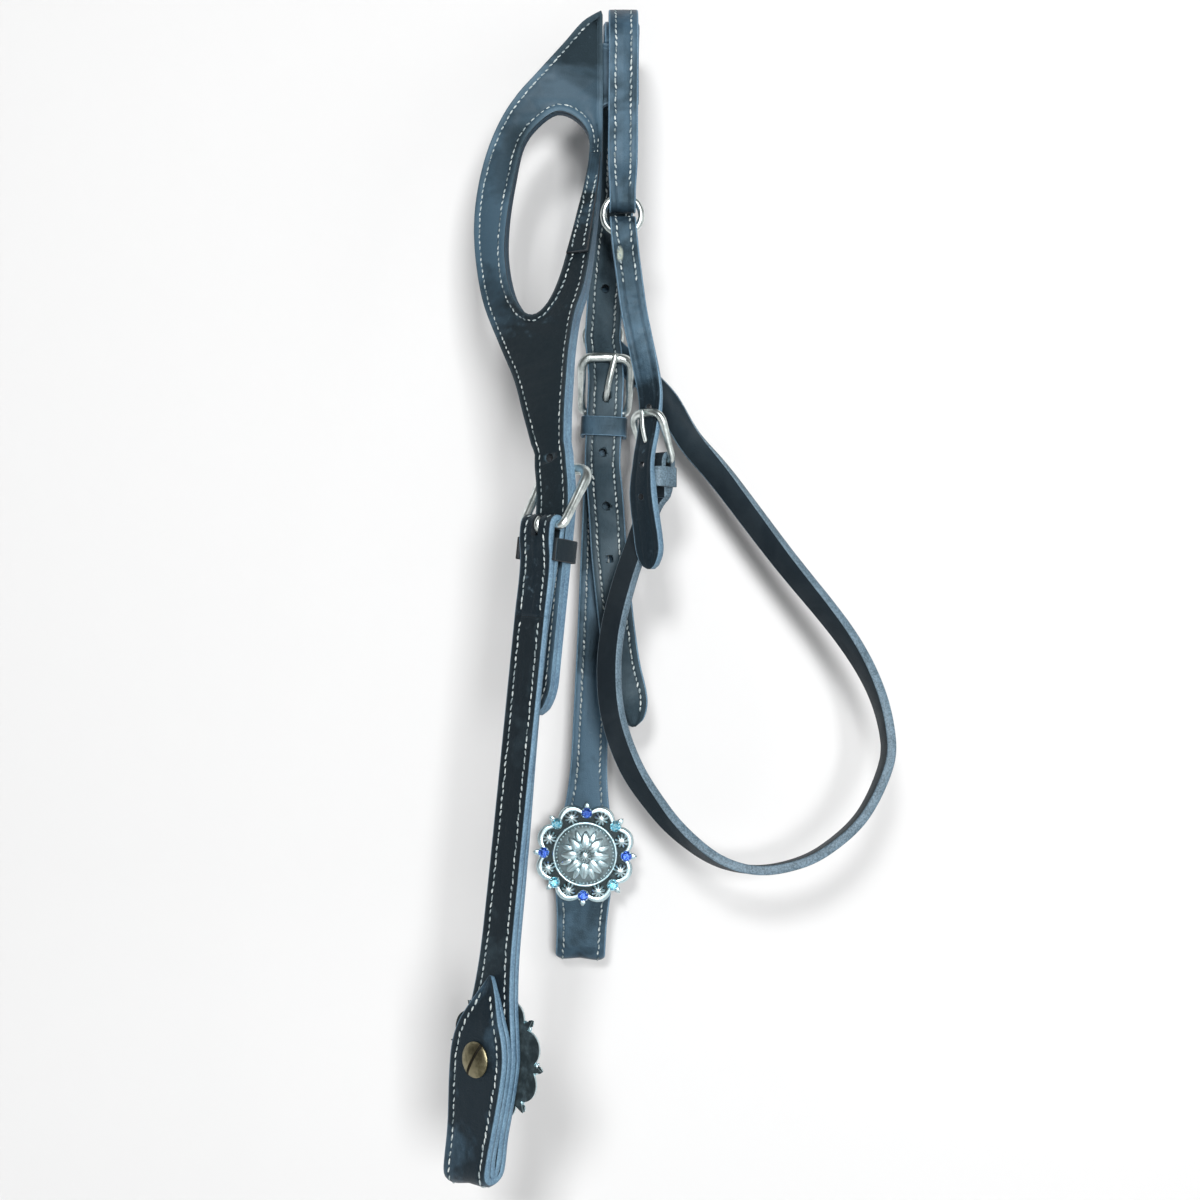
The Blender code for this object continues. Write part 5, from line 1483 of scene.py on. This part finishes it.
def frame_line(half_low, half_high, height, depth, corner, steps=8):
    """The closed line of a buckle frame: a bar along X at the bottom and a bowed bar at the top."""
    corners = [(-half_low, 0.0), (-half_high, height), (half_high, height), (half_low, 0.0)]
    line = []
    for i, (x, z) in enumerate(corners):
        here = Vector((x, z))
        before = Vector(corners[i - 1]) - here
        after = Vector(corners[(i + 1) % 4]) - here
        reach = corner * (1.7 if z > 0.0 else 1.0)
        start = here + before.normalized() * reach
        end = here + after.normalized() * reach
        for k in range(steps + 1):
            t = k / steps
            line.append(start * (1 - t) ** 2 + here * 2 * t * (1 - t) + end * t * t)
    flat = []
    for a, b in zip(line, line[1:] + line[:1]):
        count = max(1, round((b - a).length / 0.0015))
        flat += [a.lerp(b, k / count) for k in range(count)]
    bow = 0.0009
    line = []
    for p in flat:
        bowed = bow * (p.y / height) ** 4 * (1 - (p.x / half_high) ** 2)
        line.append(Vector((p.x, depth * p.y / height, p.y + bowed)))
    return line


def tongue_line(bar_radius, own_radius, leather_front, top_y, height):
    """A buckle tongue: wrapped round the heel bar, then up through the billet and over the top bar."""
    wrap = bar_radius + RUNNING_GAP + own_radius
    line = []
    for i in range(25):
        angle = radians(230 * (1 - i / 24))
        line.append(Vector((0.0, -wrap * cos(angle), -wrap * sin(angle))))
    tip_y = top_y - own_radius
    rise = [Vector((0.0, -wrap, 0.0)), Vector((0.0, (leather_front - wrap) / 2 - 0.0006, 0.0032)),
            Vector((0.0, leather_front - 0.0016, 0.0076)),
            Vector((0.0, (leather_front + tip_y) / 2 - 0.0014, 0.0076 + (height - 0.0076) * 0.45)),
            Vector((0.0, tip_y, height)), Vector((0.0, tip_y + 0.0004, height + 0.0022))]
    return line, through(rise, 6)


# %% [markdown]
# ## Three buckles and two rings
# The cheek buckles and the small one of the throat latch are alike but for their sizes. The frame rocks on
# the fold of its strap and the tongue turns on the heel bar, so each is a piece on its own body.

# %% Three buckles and two rings
BAR_BROADER = 1.15


def buckle(side, place, width, bar_radius, top_radius, own_radius, height, top_y, leather_front, lean=0.0):
    """A buckle's frame and tongue, each on its own body, and the line of the tongue's rise."""
    low = width / 2 + SIDE_ROOM + bar_radius
    line = frame_line(low, low + 0.0008, height, top_y, 0.0028)
    turned_frame = [place @ p for p in line]
    way = (place.to_3x3() @ Vector((0.0, height, -top_y))).normalized()

    def size(i):
        share = soft_step(line[i].z / height * 1.6 - 0.60)
        broad = bar_radius + (top_radius * BAR_BROADER - bar_radius) * share
        return broad, bar_radius * (1.08 + 0.22 * share)

    bar(side + "_buckle_frame", turned_frame, size, way, True, nickel, side + "_buckle_body",
        [side + "_buckle"])
    wrapped, rise = tongue_line(bar_radius, own_radius, leather_front, top_y - top_radius - SEAM, height)
    rise = [p + X_AXIS * (lean * (p.z / height) ** 1.5) if p.z > 0.0 else p for p in rise]
    whole = [place @ p for p in wrapped + rise[1:]]
    count = len(whole)

    def tongue_size(i):
        left = (count - 1 - i) / 5
        taper = min(1.0, sqrt(max(left, 0.02) * (2 - min(left, 1.0)))) if left < 1 else 1.0
        return own_radius * 1.15 * taper, own_radius * taper

    bar(side + "_buckle_tongue", whole, tongue_size, place.to_3x3() @ X_AXIS, False, nickel,
        side + "_tongue_body", [side + "_tongue"])
    return rise


def wire_size(i):
    """A ring's wire is as thick everywhere."""
    return RING_WIRE, RING_WIRE


near_rise = buckle("near", near_frame, CHEEK_WIDTH, BAR_RADIUS, TOP_BAR_RADIUS, TONGUE_RADIUS, BUCKLE_HEIGHT,
                   TOP_BAR_Y, BILLET_Y - DOUBLE / 2, 0.0034)
off_rise = buckle("off", off_frame, CHEEK_WIDTH, BAR_RADIUS, TOP_BAR_RADIUS, TONGUE_RADIUS, BUCKLE_HEIGHT,
                  TOP_BAR_Y, BILLET_Y - DOUBLE / 2)
throat_rise = buckle("throat", latch_frame, LATCH_WIDTH, LATCH_BAR_RADIUS, LATCH_BAR_RADIUS,
                     LATCH_TONGUE_RADIUS, LATCH_BUCKLE_HEIGHT, LATCH_TOP_Y, LATCH_BILLET_Y - LATCH_STRAP / 2)
for number, centre in ((1, RING_1), (2, RING_2)):
    angles = [2 * pi * k / 64 for k in range(64)]
    circle = [centre + Vector((cos(a), 0.0, sin(a))) * RING_RADIUS for a in angles]
    bar(f"ring_{number}_wire", circle, wire_size, Y_AXIS, True, nickel, f"ring_{number}_body",
        [f"ring_{number}"])
print("buckle height:", BUCKLE_HEIGHT * 1000, "mm, ring:", round(RING_RADIUS * 2000, 1), "mm across")

# %% [markdown]
# ## Keepers
# Under each buckle a short loop of leather holds the billet down. Its ends are sewn to the strap's edges.
# It is a strap like the others, on a line with two round corners.

# %% Keepers
KEEPER_WALL = 0.0017
KEEPER_HEIGHT = 0.0085
KEEPER_ROOM = 0.0004


def keeper(side, place, width, bar_radius, leather_front, low_y, body, finishes, lower=0.0):
    """A keeper over the billet's front and down both of its sides."""
    half = width / 2 + KEEPER_ROOM + KEEPER_WALL / 2
    front = leather_front - SEAM - KEEPER_WALL / 2
    corner = 0.0016
    line = [Vector((-half, low_y, 0.0)), Vector((-half, front + corner, 0.0))]
    for i in range(1, 5):
        angle = radians(90 * i / 4)
        line.append(Vector((-half + corner - corner * cos(angle),
                            front + corner - corner * sin(angle), 0.0)))
    line += [Vector((-p.x, p.y, 0.0)) for p in reversed(line)]
    middle = Vector((0.0, 0.0, -bar_radius - 0.0012 - KEEPER_HEIGHT / 2 - lower))
    path = [place @ (p + middle) for p in line]
    sides = [place.to_3x3() @ Z_AXIS] * len(path)
    strap = Strap(path, sides, [KEEPER_HEIGHT] * len(path), 0.0008)
    strap_piece(side + "_keeper_leather", strap, KEEPER_WALL, 0.0, 1, finishes, body, "black_leather",
                [side + "_keeper"], relief=0.0, joined=False)


CHEEK_FRONT = BILLET_Y - DOUBLE / 2
keeper("near", near_frame, CHEEK_WIDTH, BAR_RADIUS, CHEEK_FRONT, DOUBLE / 2, "near_cheek", OUTER_FINISH)
# The off keeper's edges are painted shade, near black.
keeper("off", off_frame, CHEEK_WIDTH, BAR_RADIUS, CHEEK_FRONT, DOUBLE / 2, "off_cheek",
       [lining_leather, painted_shade_edge, flesh_leather], 0.0020)
keeper("throat", latch_frame, LATCH_WIDTH, LATCH_BAR_RADIUS, LATCH_BILLET_Y - LATCH_STRAP / 2,
       LATCH_STRAP + SEAM / 2, "throat_latch", [latch_edge, latch_edge, flesh_leather])
print("keepers:", KEEPER_HEIGHT * 1000, "mm high")

# %% [markdown]
# ## Holes
# Billets have a row of punched holes, and the tongue comes up through one of them. A dark disc would look
# like a hole only from the front, so the holes are cut out of the finished leather with round tools.

# %% Punched holes
HOLE_RADIUS = 0.0017
HOLE_SPACING = 0.0234
NEAR_HOLES = [-0.0186 - HOLE_SPACING * k for k in range(3)]
OFF_HOLES = [0.0262, -0.0186, -0.0186 - HOLE_SPACING]
THROAT_HOLES = [-0.1654, -0.1902, -0.2040]
CROWN_HOLE = (-0.0064, 0.008, -0.1099)


def tongue_way(shape, side_frame, rise, radius):
    """The slanting hole that a tongue comes up through."""
    start, end = rise[5], rise[14]
    way = side_frame.to_3x3() @ (end - start)
    place = way.to_track_quat("Z", "Y").to_matrix().to_4x4()
    place.translation = side_frame @ ((start + end) / 2)
    bmesh.ops.create_cone(shape, cap_ends=True, segments=20, radius1=radius, radius2=radius, depth=0.014,
                          matrix=place)


def billet_holes(made, side_frame, sway, heights, rise):
    """Cuts a cheek billet's row of holes and the one that the tongue comes through."""
    tool = bmesh.new()
    for z in heights:
        rod(tool, side_frame @ Matrix.Translation((straight(sway, z), BILLET_Y, z)), HOLE_RADIUS, 0.012)
    tongue_way(tool, side_frame, rise, TONGUE_RADIUS + 0.0006)
    punch(made, tool)


for made in (near_outer, near_lining):
    tool = bmesh.new()
    rod(tool, Matrix.Translation(CROWN_HOLE), HOLE_RADIUS, 0.012)
    punch(made, tool)
    billet_holes(made, near_frame, near_sway, NEAR_HOLES, near_rise)
for made in (ear_back, ear_front):
    billet_holes(made, off_frame, off_sway, OFF_HOLES, off_rise)
tool = bmesh.new()
for z in THROAT_HOLES:
    angle = min(FRONT_LINE, key=lambda row: abs(row[0] - z))[3]
    x, y = (straight([(row[0], row[column] / 1000) for row in FRONT_LINE], z) for column in (1, 2))
    place = Matrix.Translation((x, y, z)) @ Matrix.Rotation(radians(angle), 4, "Z")
    rod(tool, place, HOLE_RADIUS * 0.85, 0.008)
tongue_way(tool, latch_frame, throat_rise, LATCH_TONGUE_RADIUS + 0.0005)
punch(billet_piece, tool)
print("holes:", len(NEAR_HOLES) + 1, "near,", len(OFF_HOLES), "off,", len(THROAT_HOLES), "throat")

# %% [markdown]
# ## Where the ear piece bends
# The ear piece stays on the crown while its billet swings with the off cheek, so its layers and its thread
# are blended between the two bodies. A break there would show as a gap in the leather.

# %% The ear piece follows the crown and the off cheek
for made, nodes, slot in ((ear_back, ["ear_piece_outer", "off_billet_outer"], "black_leather"),
                          (ear_front, ["ear_piece_lining", "off_billet_lining"], "lining_leather"),
                          (ear_thread, [], "black_leather")):
    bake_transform(made, "crown", "off_cheek", start=OFF_BLEND[0], end=OFF_BLEND[1])
    if nodes:
        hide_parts(*nodes)
print("the ear piece bends at", [round(c, 3) for c in EAR_END])

# %% [markdown]
# ## The strip over the ear opening
# The narrow side of the opening bears the pull of the cheek, so a thin strip is sewn over it. It lies on
# the ear piece's front and follows its turn: both its edges are places of the front view, moved to the
# pattern.

# %% The strip over the narrow side of the ear opening
STRIP = [(-60.0, -12.3, -8.3), (-68.0, -13.4, -8.7), (-76.0, -14.8, -9.2), (-84.0, -16.4, -10.0),
         (-92.0, -17.9, -10.8), (-98.0, -18.9, -11.5), (-109.0, -21.2, -12.6)]
strip_rows = through([Vector((z / 1000, a / 1000, b / 1000)) for z, a, b in STRIP], 2)
strip_high = LAYER_STEP + LAYER
ends = []
for row in strip_rows:
    first, second = (ear_place(ear_flat(x, row.x).x, row.x, strip_high) for x in (row.y, row.z))
    ends.append((first, second))
middles = [(a + b) / 2 for a, b in ends]
strip = Strap(middles, [b - a for a, b in ends], [(b - a).length for a, b in ends], 0.001)
# The strip's edges are painted shade, near black.
strap_piece("ear_strip", strip, 0.0015, 0.0, 1, [ear_leather, painted_shade_edge, flesh_leather], "crown",
            "lining_leather", ["ear_overlay"], relief=0.6, joined=False)
rows = stitch_rows(strip, 0.00065, 1, 0.012, strip.length - 0.002, 0.0030, 0.0022)
piece("ear_strip_thread", sewn(rows), [thread], "crown")
print("strip:", round(strip.length * 1000), "mm")

# %% [markdown]
# ## Conchos
# A concho is a cast ornament that covers the end of a screw. This one has eight round scallops, each with a
# raised rim and a fluted berry, a small pointed leaf between each two, and a stone at the foot of each
# leaf. Its middle is a low dome with a cast rosette on a stippled ground.

# %% The plate of a concho
LOBE_CENTRE = 0.0163
LOBE_RADIUS = 0.0064
PLATE_THICKNESS = 0.0012
PLATE_DRAFT = 0.988
FLOOR_RADIUS = 0.0140
DOME_RADIUS = 0.0136
DOME_HEIGHT = 0.0034
DOME_FOOT = -0.0016
EIGHTH = pi / 4
# Rows: share of the outline's radius, how far the step goes to the front, how rubbed it is
PLATE_STEPS = [(0.975, 0.00030, 1.0), (0.940, 0.00022, 1.0), (0.898, -0.00022, 0.95), (0.880, -0.00090, 0.22),
               (0.5, 0.0, 0.22)]


def concho_radius(angle):
    """How far the plate's outline is from its centre, at an angle from its top."""
    tip = (angle + EIGHTH / 2) % EIGHTH - EIGHTH / 2
    lobe = angle % EIGHTH - EIGHTH / 2
    reach = 0.0160
    inside = LOBE_RADIUS ** 2 - (LOBE_CENTRE * sin(lobe)) ** 2
    if inside > 0:
        reach = max(reach, LOBE_CENTRE * cos(lobe) + sqrt(inside))
    return max(reach, 0.0233 - abs(tip) * 0.048)


def polar(angle, radius, y):
    """A place on the concho, at an angle from its top."""
    return radius * sin(angle), y, radius * cos(angle)


def high_layer_of(shape):
    return shape.verts.layers.float.get("high") or shape.verts.layers.float.new("high")


def mark(shape, verts, level):
    """Says how high, and so how rubbed, these points of a casting are."""
    layer = high_layer_of(shape)
    for vert in verts:
        vert[layer] = level


def concho_plate():
    """The plate: an outline pulled up to a thickness, with a raised rim round a sunken floor."""
    shape = bmesh.new()
    high_layer_of(shape)
    rim = bmesh.ops.create_circle(shape, cap_ends=True, segments=320, radius=1.0,
                                  matrix=Matrix.Rotation(pi / 2, 4, "X"))["verts"]
    for vert in rim:
        angle = atan2(vert.co.x, vert.co.z)
        vert.co = polar(angle, concho_radius(angle), -SEAM)
    grown = bmesh.ops.extrude_face_region(shape, geom=shape.faces[:], use_keep_orig=True)["geom"]
    front = [g for g in grown if isinstance(g, bmesh.types.BMVert)]
    face = [g for g in grown if isinstance(g, bmesh.types.BMFace)][0]
    bmesh.ops.translate(shape, verts=front, vec=(0.0, -PLATE_THICKNESS, 0.0))
    mark(shape, rim, 0.30)
    mark(shape, front, 1.0)
    for vert in front:
        vert.co.x *= PLATE_DRAFT
        vert.co.z *= PLATE_DRAFT
    for share, drop, level in PLATE_STEPS:
        bmesh.ops.inset_individual(shape, faces=[face], thickness=0.0, depth=0.0)
        for vert in face.verts:
            angle = atan2(vert.co.x, vert.co.z)
            radius = FLOOR_RADIUS
            if share > 0.6:
                radius = concho_radius(angle) * PLATE_DRAFT - (1 - share) * CONCHO_RADIUS
            vert.co = polar(angle, radius, vert.co.y - drop)
        mark(shape, face.verts, level)
    return shape


print("concho:", round(max(concho_radius(EIGHTH * k / 8) for k in range(8)) * 2000, 1), "mm across")

# %% [markdown]
# ## Beads, petals and rings
# Everything on the plate is one of three castings: a round boss, which may be fluted, a petal with a crease
# down its middle, or a plain ring. Each starts as a ball or a spun circle and its points are moved. Their
# height is kept with them, because the high places are rubbed bright and the low ones stay dark.

# %% Beads, petals and rings
HOLLOW = 0.9


def bead(shape, angle, distance, base, radius, height, level, segments, rings, flutes=0, middle=(0, 0, 0)):
    """A round boss at an angle and a distance from a middle, fluted if asked."""
    layer = high_layer_of(shape)
    x, _, z = polar(angle, distance, 0.0)
    x, z = x + middle[0], z + middle[2]
    made = bmesh.ops.create_uvsphere(shape, u_segments=segments, v_segments=rings, radius=1.0,
                                     matrix=Matrix.Rotation(pi / 2, 4, "X"))
    for vert in made["verts"]:
        px, py, pz = vert.co
        flat = hypot(px, pz)
        valley = 0.5 - 0.5 * cos(flutes * atan2(px, pz))
        rib = 1.0 - 0.16 * valley * flat
        depth = py * (height * rib if py < 0 else 0.0006)
        vert.co = (x + px * radius * rib, base + depth, z + pz * radius * rib)
        vert[layer] = level - HOLLOW * valley * min(flat * 1.6, 1.0)


def petal(shape, angle, inner, outer, width, base, lift):
    """A leaf or petal laid from the inside outwards."""
    middle = (inner + outer) / 2
    layer = high_layer_of(shape)
    made = bmesh.ops.create_uvsphere(shape, u_segments=12, v_segments=8, radius=1.0)
    for vert in made["verts"]:
        px, py, pz = vert.co
        taper = 1 - 0.35 * pz
        along = middle + pz * (outer - inner) / 2
        side = px * width * taper
        crease = 0.35 * exp(-(px / 0.22) ** 2)
        rise = lift * (max(-py, 0.0) - crease * max(-py, 0.0))
        height = base(along) - rise + (0.0004 if py > 0 else 0.0)
        vert.co = (along * sin(angle) + side * cos(angle), height,
                   along * cos(angle) - side * sin(angle))
        vert[layer] = 1.0 - 1.6 * crease if py < 0 else 0.2


def wire_ring(radius, thick, base):
    """A plain ring laid on the plate: a circle spun round the middle."""
    shape = bmesh.new()
    bmesh.ops.create_circle(shape, cap_ends=False, segments=10, radius=thick,
                            matrix=Matrix.Translation((radius, base, 0.0)))
    bmesh.ops.spin(shape, geom=shape.verts[:] + shape.edges[:], cent=(0, 0, 0), axis=(0, 1, 0),
                   angle=2 * pi, steps=72, use_merge=True)
    mark(shape, shape.verts, 0.95)
    return shape


def dome_base(along):
    """The height of the middle dome's surface at a distance from its centre."""
    share = min(abs(along) / DOME_RADIUS, 1.0)
    return DOME_FOOT - DOME_HEIGHT * sqrt(max(0.0, 1 - share * share * 0.92))


def leaf_base(along):
    """The height at which the small outer leaves lie."""
    return -0.0017


# %% [markdown]
# ## The casting
# A low dome with a stippled ground fills the middle. It carries a rosette of eight petals, with a leaf
# between each two, inside a ring of small beads. All is joined to one mesh, as it was cast in one piece.

# %% The whole casting
BEADS = 48


def dome_shape():
    """The middle dome, with its stippled ground."""
    shape = bmesh.new()
    layer = high_layer_of(shape)
    made = bmesh.ops.create_uvsphere(shape, u_segments=64, v_segments=32, radius=1.0,
                                     matrix=Matrix.Rotation(pi / 2, 4, "X"))
    draw = random.Random(11)
    for vert in made["verts"]:
        x, y, z = vert.co
        if y < 0:
            height = y * DOME_HEIGHT + draw.uniform(-0.00008, 0.00008)
        else:
            height = y * 0.0004
        vert.co = (x * DOME_RADIUS, DOME_FOOT + height, z * DOME_RADIUS)
        vert[layer] = 0.43
    return shape


def rosette():
    """Eight petals and eight leaves between them, round a fluted button."""
    shape = bmesh.new()
    for k in range(8):
        petal(shape, EIGHTH * k, 0.0028, 0.0108, 0.0023, dome_base, 0.0013)
        petal(shape, EIGHTH * (k + 0.5), 0.0060, 0.0117, 0.0013, dome_base, 0.0007)
    bead(shape, 0.0, 0.0, -0.0048, 0.0027, 0.0015, 1.0, 32, 12, 12)
    return shape


def berries():
    """A fluted berry in each scallop and a small leaf between each two."""
    shape = bmesh.new()
    for k in range(8):
        bead(shape, EIGHTH * (k + 0.5), 0.0174, -0.0012, 0.0033, 0.0024, 1.0, 40, 12, 9)
        petal(shape, EIGHTH * k, 0.0200, 0.0231, 0.0013, leaf_base, 0.0008)
    return shape


def small_bead(shape, angle):
    """One bead of the ring round the rosette."""
    bead(shape, angle, 0.0126, -0.0030, 0.00045, 0.0005, 1.0, 8, 6)


def concho_shape():
    """The whole casting in its own frame: its back at y = 0 and its face towards -Y."""
    turns = [2 * pi * k / BEADS for k in range(BEADS)]
    shape = joined([concho_plate(), dome_shape(), wire_ring(0.0139, 0.0006, -0.0019), rosette(),
                    in_batches(turns, small_bead), berries()])
    for face in shape.faces:
        face.smooth = True
    bmesh.ops.recalc_face_normals(shape, faces=shape.faces)
    return shape


# %% [markdown]
# ## Stones and screws
# Each stone is glass in a round setting with four claws. Blue and aqua take turns. Behind the cheek, a
# slotted screw holds the concho: its profile is spun, and the points between two cuts are pressed down as
# the slot.

# %% Stones and screws
STONE_RING = 0.0184
CLAW_RING = 0.00225
CONCHO_BACK = -LAYER - SEAM / 2
SCREW_PROFILE = [(0.0, 0.0), (0.0064, 0.0), (0.0064, 0.0005), (0.0061, 0.0008), (0.0055, 0.0011),
                 (0.0045, 0.00145), (0.0030, 0.0017), (0.0015, 0.0018), (0.0007, 0.00182), (0.0, 0.00182)]
SLOT_CUTS = (-0.00066, -0.00060, 0.00060, 0.00066)
SLOT_FLOOR = 0.0008


def stone(stones, cups, k):
    """One stone, its cup and its claws."""
    middle = polar(EIGHTH * k, STONE_RING, -0.0020)
    to_front = Matrix.Translation(middle) @ Matrix.Rotation(pi / 2, 4, "X")
    crown = bmesh.ops.create_cone(stones, cap_ends=True, segments=16, radius1=0.00235, radius2=0.0013,
                                  depth=0.0011, matrix=to_front @ Matrix.Translation((0, 0, 0.0007)))
    foot = bmesh.ops.create_cone(stones, cap_ends=True, segments=16, radius1=0.0021, radius2=0.00235,
                                 depth=0.0004, matrix=to_front)
    for face in {f for v in crown["verts"] + foot["verts"] for f in v.link_faces}:
        face.material_index = k % 2
    bead(cups, EIGHTH * k, STONE_RING, -0.0015, 0.0027, 0.0009, 0.9, 24, 8)
    for arm in range(4):
        bead(cups, pi / 2 * arm + EIGHTH, CLAW_RING, -0.0024, 0.0005, 0.0006, 1.0, 8, 6, middle=middle)


def concho(side, side_frame, body):
    """The casting and its stones in their settings."""
    place = side_frame @ Matrix.Translation((0.0, CONCHO_BACK, SCREW_Z))
    shape = concho_shape()
    bmesh.ops.transform(shape, matrix=place, verts=shape.verts)
    made = piece(side + "_concho_casting", shape, [silver], body, [side + "_concho"])
    made.data.set_sharp_from_angle(angle=radians(50))
    stones, cups = bmesh.new(), bmesh.new()
    for k in range(8):
        stone(stones, cups, k)
    for shape in (stones, cups):
        bmesh.ops.transform(shape, matrix=place, verts=shape.verts)
        bmesh.ops.recalc_face_normals(shape, faces=shape.faces)
    for face in cups.faces:
        face.smooth = True
    piece(side + "_stones", stones, [blue_stone, aqua_stone], body,
          [f"{side}_stone_{k}" for k in range(1, 9)])
    piece(side + "_stone_cups", cups, [silver], body)


def screw(side, side_frame, body):
    """A screw head: a turned dome with a slot across it."""
    shape = bmesh.new()
    layer = high_layer_of(shape)
    line = [shape.verts.new((r, h, 0.0)) for r, h in SCREW_PROFILE]
    edges = [shape.edges.new(pair) for pair in zip(line, line[1:])]
    bmesh.ops.spin(shape, geom=line + edges, cent=(0, 0, 0), axis=(0, 1, 0), angle=2 * pi, steps=48,
                   use_merge=True)
    bmesh.ops.remove_doubles(shape, verts=shape.verts, dist=1e-6)
    lean = Matrix.Rotation(radians(-25), 4, "Y")
    for x in SLOT_CUTS:
        bmesh.ops.bisect_plane(shape, geom=shape.verts[:] + shape.edges[:] + shape.faces[:], dist=1e-7,
                               plane_co=(x, 0.0, 0.0), plane_no=(1.0, 0.0, 0.0))
    for vert in shape.verts:
        vert[layer] = 0.85
        if abs(vert.co.x) < 0.00063 and vert.co.y > 0.0003:
            vert.co.y = SLOT_FLOOR
            vert[layer] = 0.0
    behind_flap = CONCHO_BACK + FLAP_STEP + DOUBLE + SEAM
    place = side_frame @ Matrix.Translation((0.0, behind_flap, SCREW_Z))
    bmesh.ops.transform(shape, matrix=place @ lean, verts=shape.verts)
    bmesh.ops.recalc_face_normals(shape, faces=shape.faces)
    for face in shape.faces:
        face.smooth = True
    made = piece(side + "_screw_head", shape, [brass], body, [side + "_screw"])
    made.data.set_sharp_from_angle(angle=radians(40))


for side, side_frame in (("near", near_frame), ("off", off_frame)):
    concho(side, side_frame, side + "_concho_body")
    screw(side, side_frame, side + "_concho_body")
    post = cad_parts[side + "_post"]
    post.data.materials.clear()
    post.data.materials.append(nickel)

# %% [markdown]
# ## Studio
# The headstall hangs in front of a white wall that curves into a pale floor. The wall is white to the
# camera and in the metal, but throws back less light than white paint would, so that its shadows stay. Seen
# from behind it is clear, and the surroundings are white to the camera only.

# %% Wall and floor
WALL_Y = 0.030
FLOOR_Z = -0.62
CURVE = 0.25
WALL_HALF = 1.6
line = [(WALL_Y, 1.2), (WALL_Y, 0.2), (WALL_Y, FLOOR_Z + CURVE)]
for k in range(1, 10):
    angle = radians(10 * k)
    line.append((WALL_Y - CURVE * (1 - cos(angle)), FLOOR_Z + CURVE - CURVE * sin(angle)))
line.append((-2.0, FLOOR_Z))
sweep = bmesh.new()
verts = [sweep.verts.new((-WALL_HALF, y, z)) for y, z in line]
edges = [sweep.edges.new(pair) for pair in zip(verts, verts[1:])]
grown = bmesh.ops.extrude_edge_only(sweep, edges=edges)["geom"]
moved = [g for g in grown if isinstance(g, bmesh.types.BMVert)]
bmesh.ops.translate(sweep, verts=moved, vec=(2 * WALL_HALF, 0, 0))
bmesh.ops.recalc_face_normals(sweep, faces=sweep.faces)
if sum(f.normal.y for f in sweep.faces) > 0:
    bmesh.ops.reverse_faces(sweep, faces=sweep.faces)
for face in sweep.faces:
    face.smooth = True
wall_mesh = bpy.data.meshes.new("studio_wall")
sweep.to_mesh(wall_mesh)
sweep.free()
studio_wall = bpy.data.objects.new("studio_wall", wall_mesh)
link(studio_wall)
studio = Sheet("studio_wall")
camera_ray = studio.node("ShaderNodeLightPath", {}, "Is Camera Ray")
rays = camera_ray + studio.node("ShaderNodeLightPath", {}, "Is Glossy Ray")
paint = studio.mix(rays.between(0.0, 1.0), (0.36, 0.36, 0.36), (0.78, 0.78, 0.78))
studio.join(studio.shader, {"Base Color": paint, "Roughness": 0.9, "Specular IOR Level": 0.0})
seen = Value(studio, studio.shader.outputs[0])
clear = studio.node("ShaderNodeBsdfTransparent")
back_side = studio.node("ShaderNodeNewGeometry", {}, "Backfacing")
shown = studio.node("ShaderNodeMixShader", {0: back_side, 1: seen, 2: clear})
studio.tree.links.new(shown.socket, studio.tree.nodes["Material Output"].inputs["Surface"])
wall_mesh.materials.append(studio.material)
print("wall:", round(WALL_Y * 1000), "mm behind the crown, floor at", FLOOR_Z, "m")

# %% [markdown]
# ## Light and camera
# A far lamp at the upper left and a nearer one almost in front make the two soft shadows of the photograph.
# A weak one at the right lights the edges, and one behind serves views from there. The camera stands 0.6 m
# in front of the crown, level with the middle of the headstall.

# %% Lamps, surroundings and camera
MIDDLE = (0.02, 0.0, -0.23)


def lamp(name, place, target, size, power):
    """A soft square lamp aimed at a point."""
    data = bpy.data.lights.new(name, "AREA")
    data.size = size
    data.energy = power
    made = bpy.data.objects.new(name, data)
    made.location = place
    made.rotation_euler = (Vector(target) - Vector(place)).to_track_quat("-Z", "Y").to_euler()
    link(made)


lamp("key_lamp", (-0.50, -3.0, 1.27), MIDDLE, 0.65, 56.0)
lamp("fill_lamp", (0.24, -1.5, -0.14), MIDDLE, 0.36, 15.6)
lamp("side_lamp", (1.1, -0.7, -0.1), MIDDLE, 0.7, 2.2)
lamp("back_lamp", (0.3, 1.2, 0.4), MIDDLE, 0.8, 8.0)
world = bpy.data.worlds.new("studio")
bpy.context.scene.world = world
sky = Sheet("studio", world)
seen_sky = sky.node("ShaderNodeLightPath", {}, "Is Camera Ray")
sky.join(sky.shader, {"Color": (1.0, 1.0, 1.0), "Strength": seen_sky * 0.95 + 0.05})

camera_data = bpy.data.cameras.new("camera")
camera_data.sensor_width = 36.0
camera_data.lens = 36.0 * 1370 / 1200
camera_data.clip_start = 0.01
camera = bpy.data.objects.new("camera", camera_data)
camera.location = (-0.00876, -0.600, -0.2476)
camera.rotation_euler = (pi / 2, 0.0, 0.0)
link(camera)
bpy.context.scene.camera = camera
bpy.context.scene.view_settings.view_transform = "Standard"
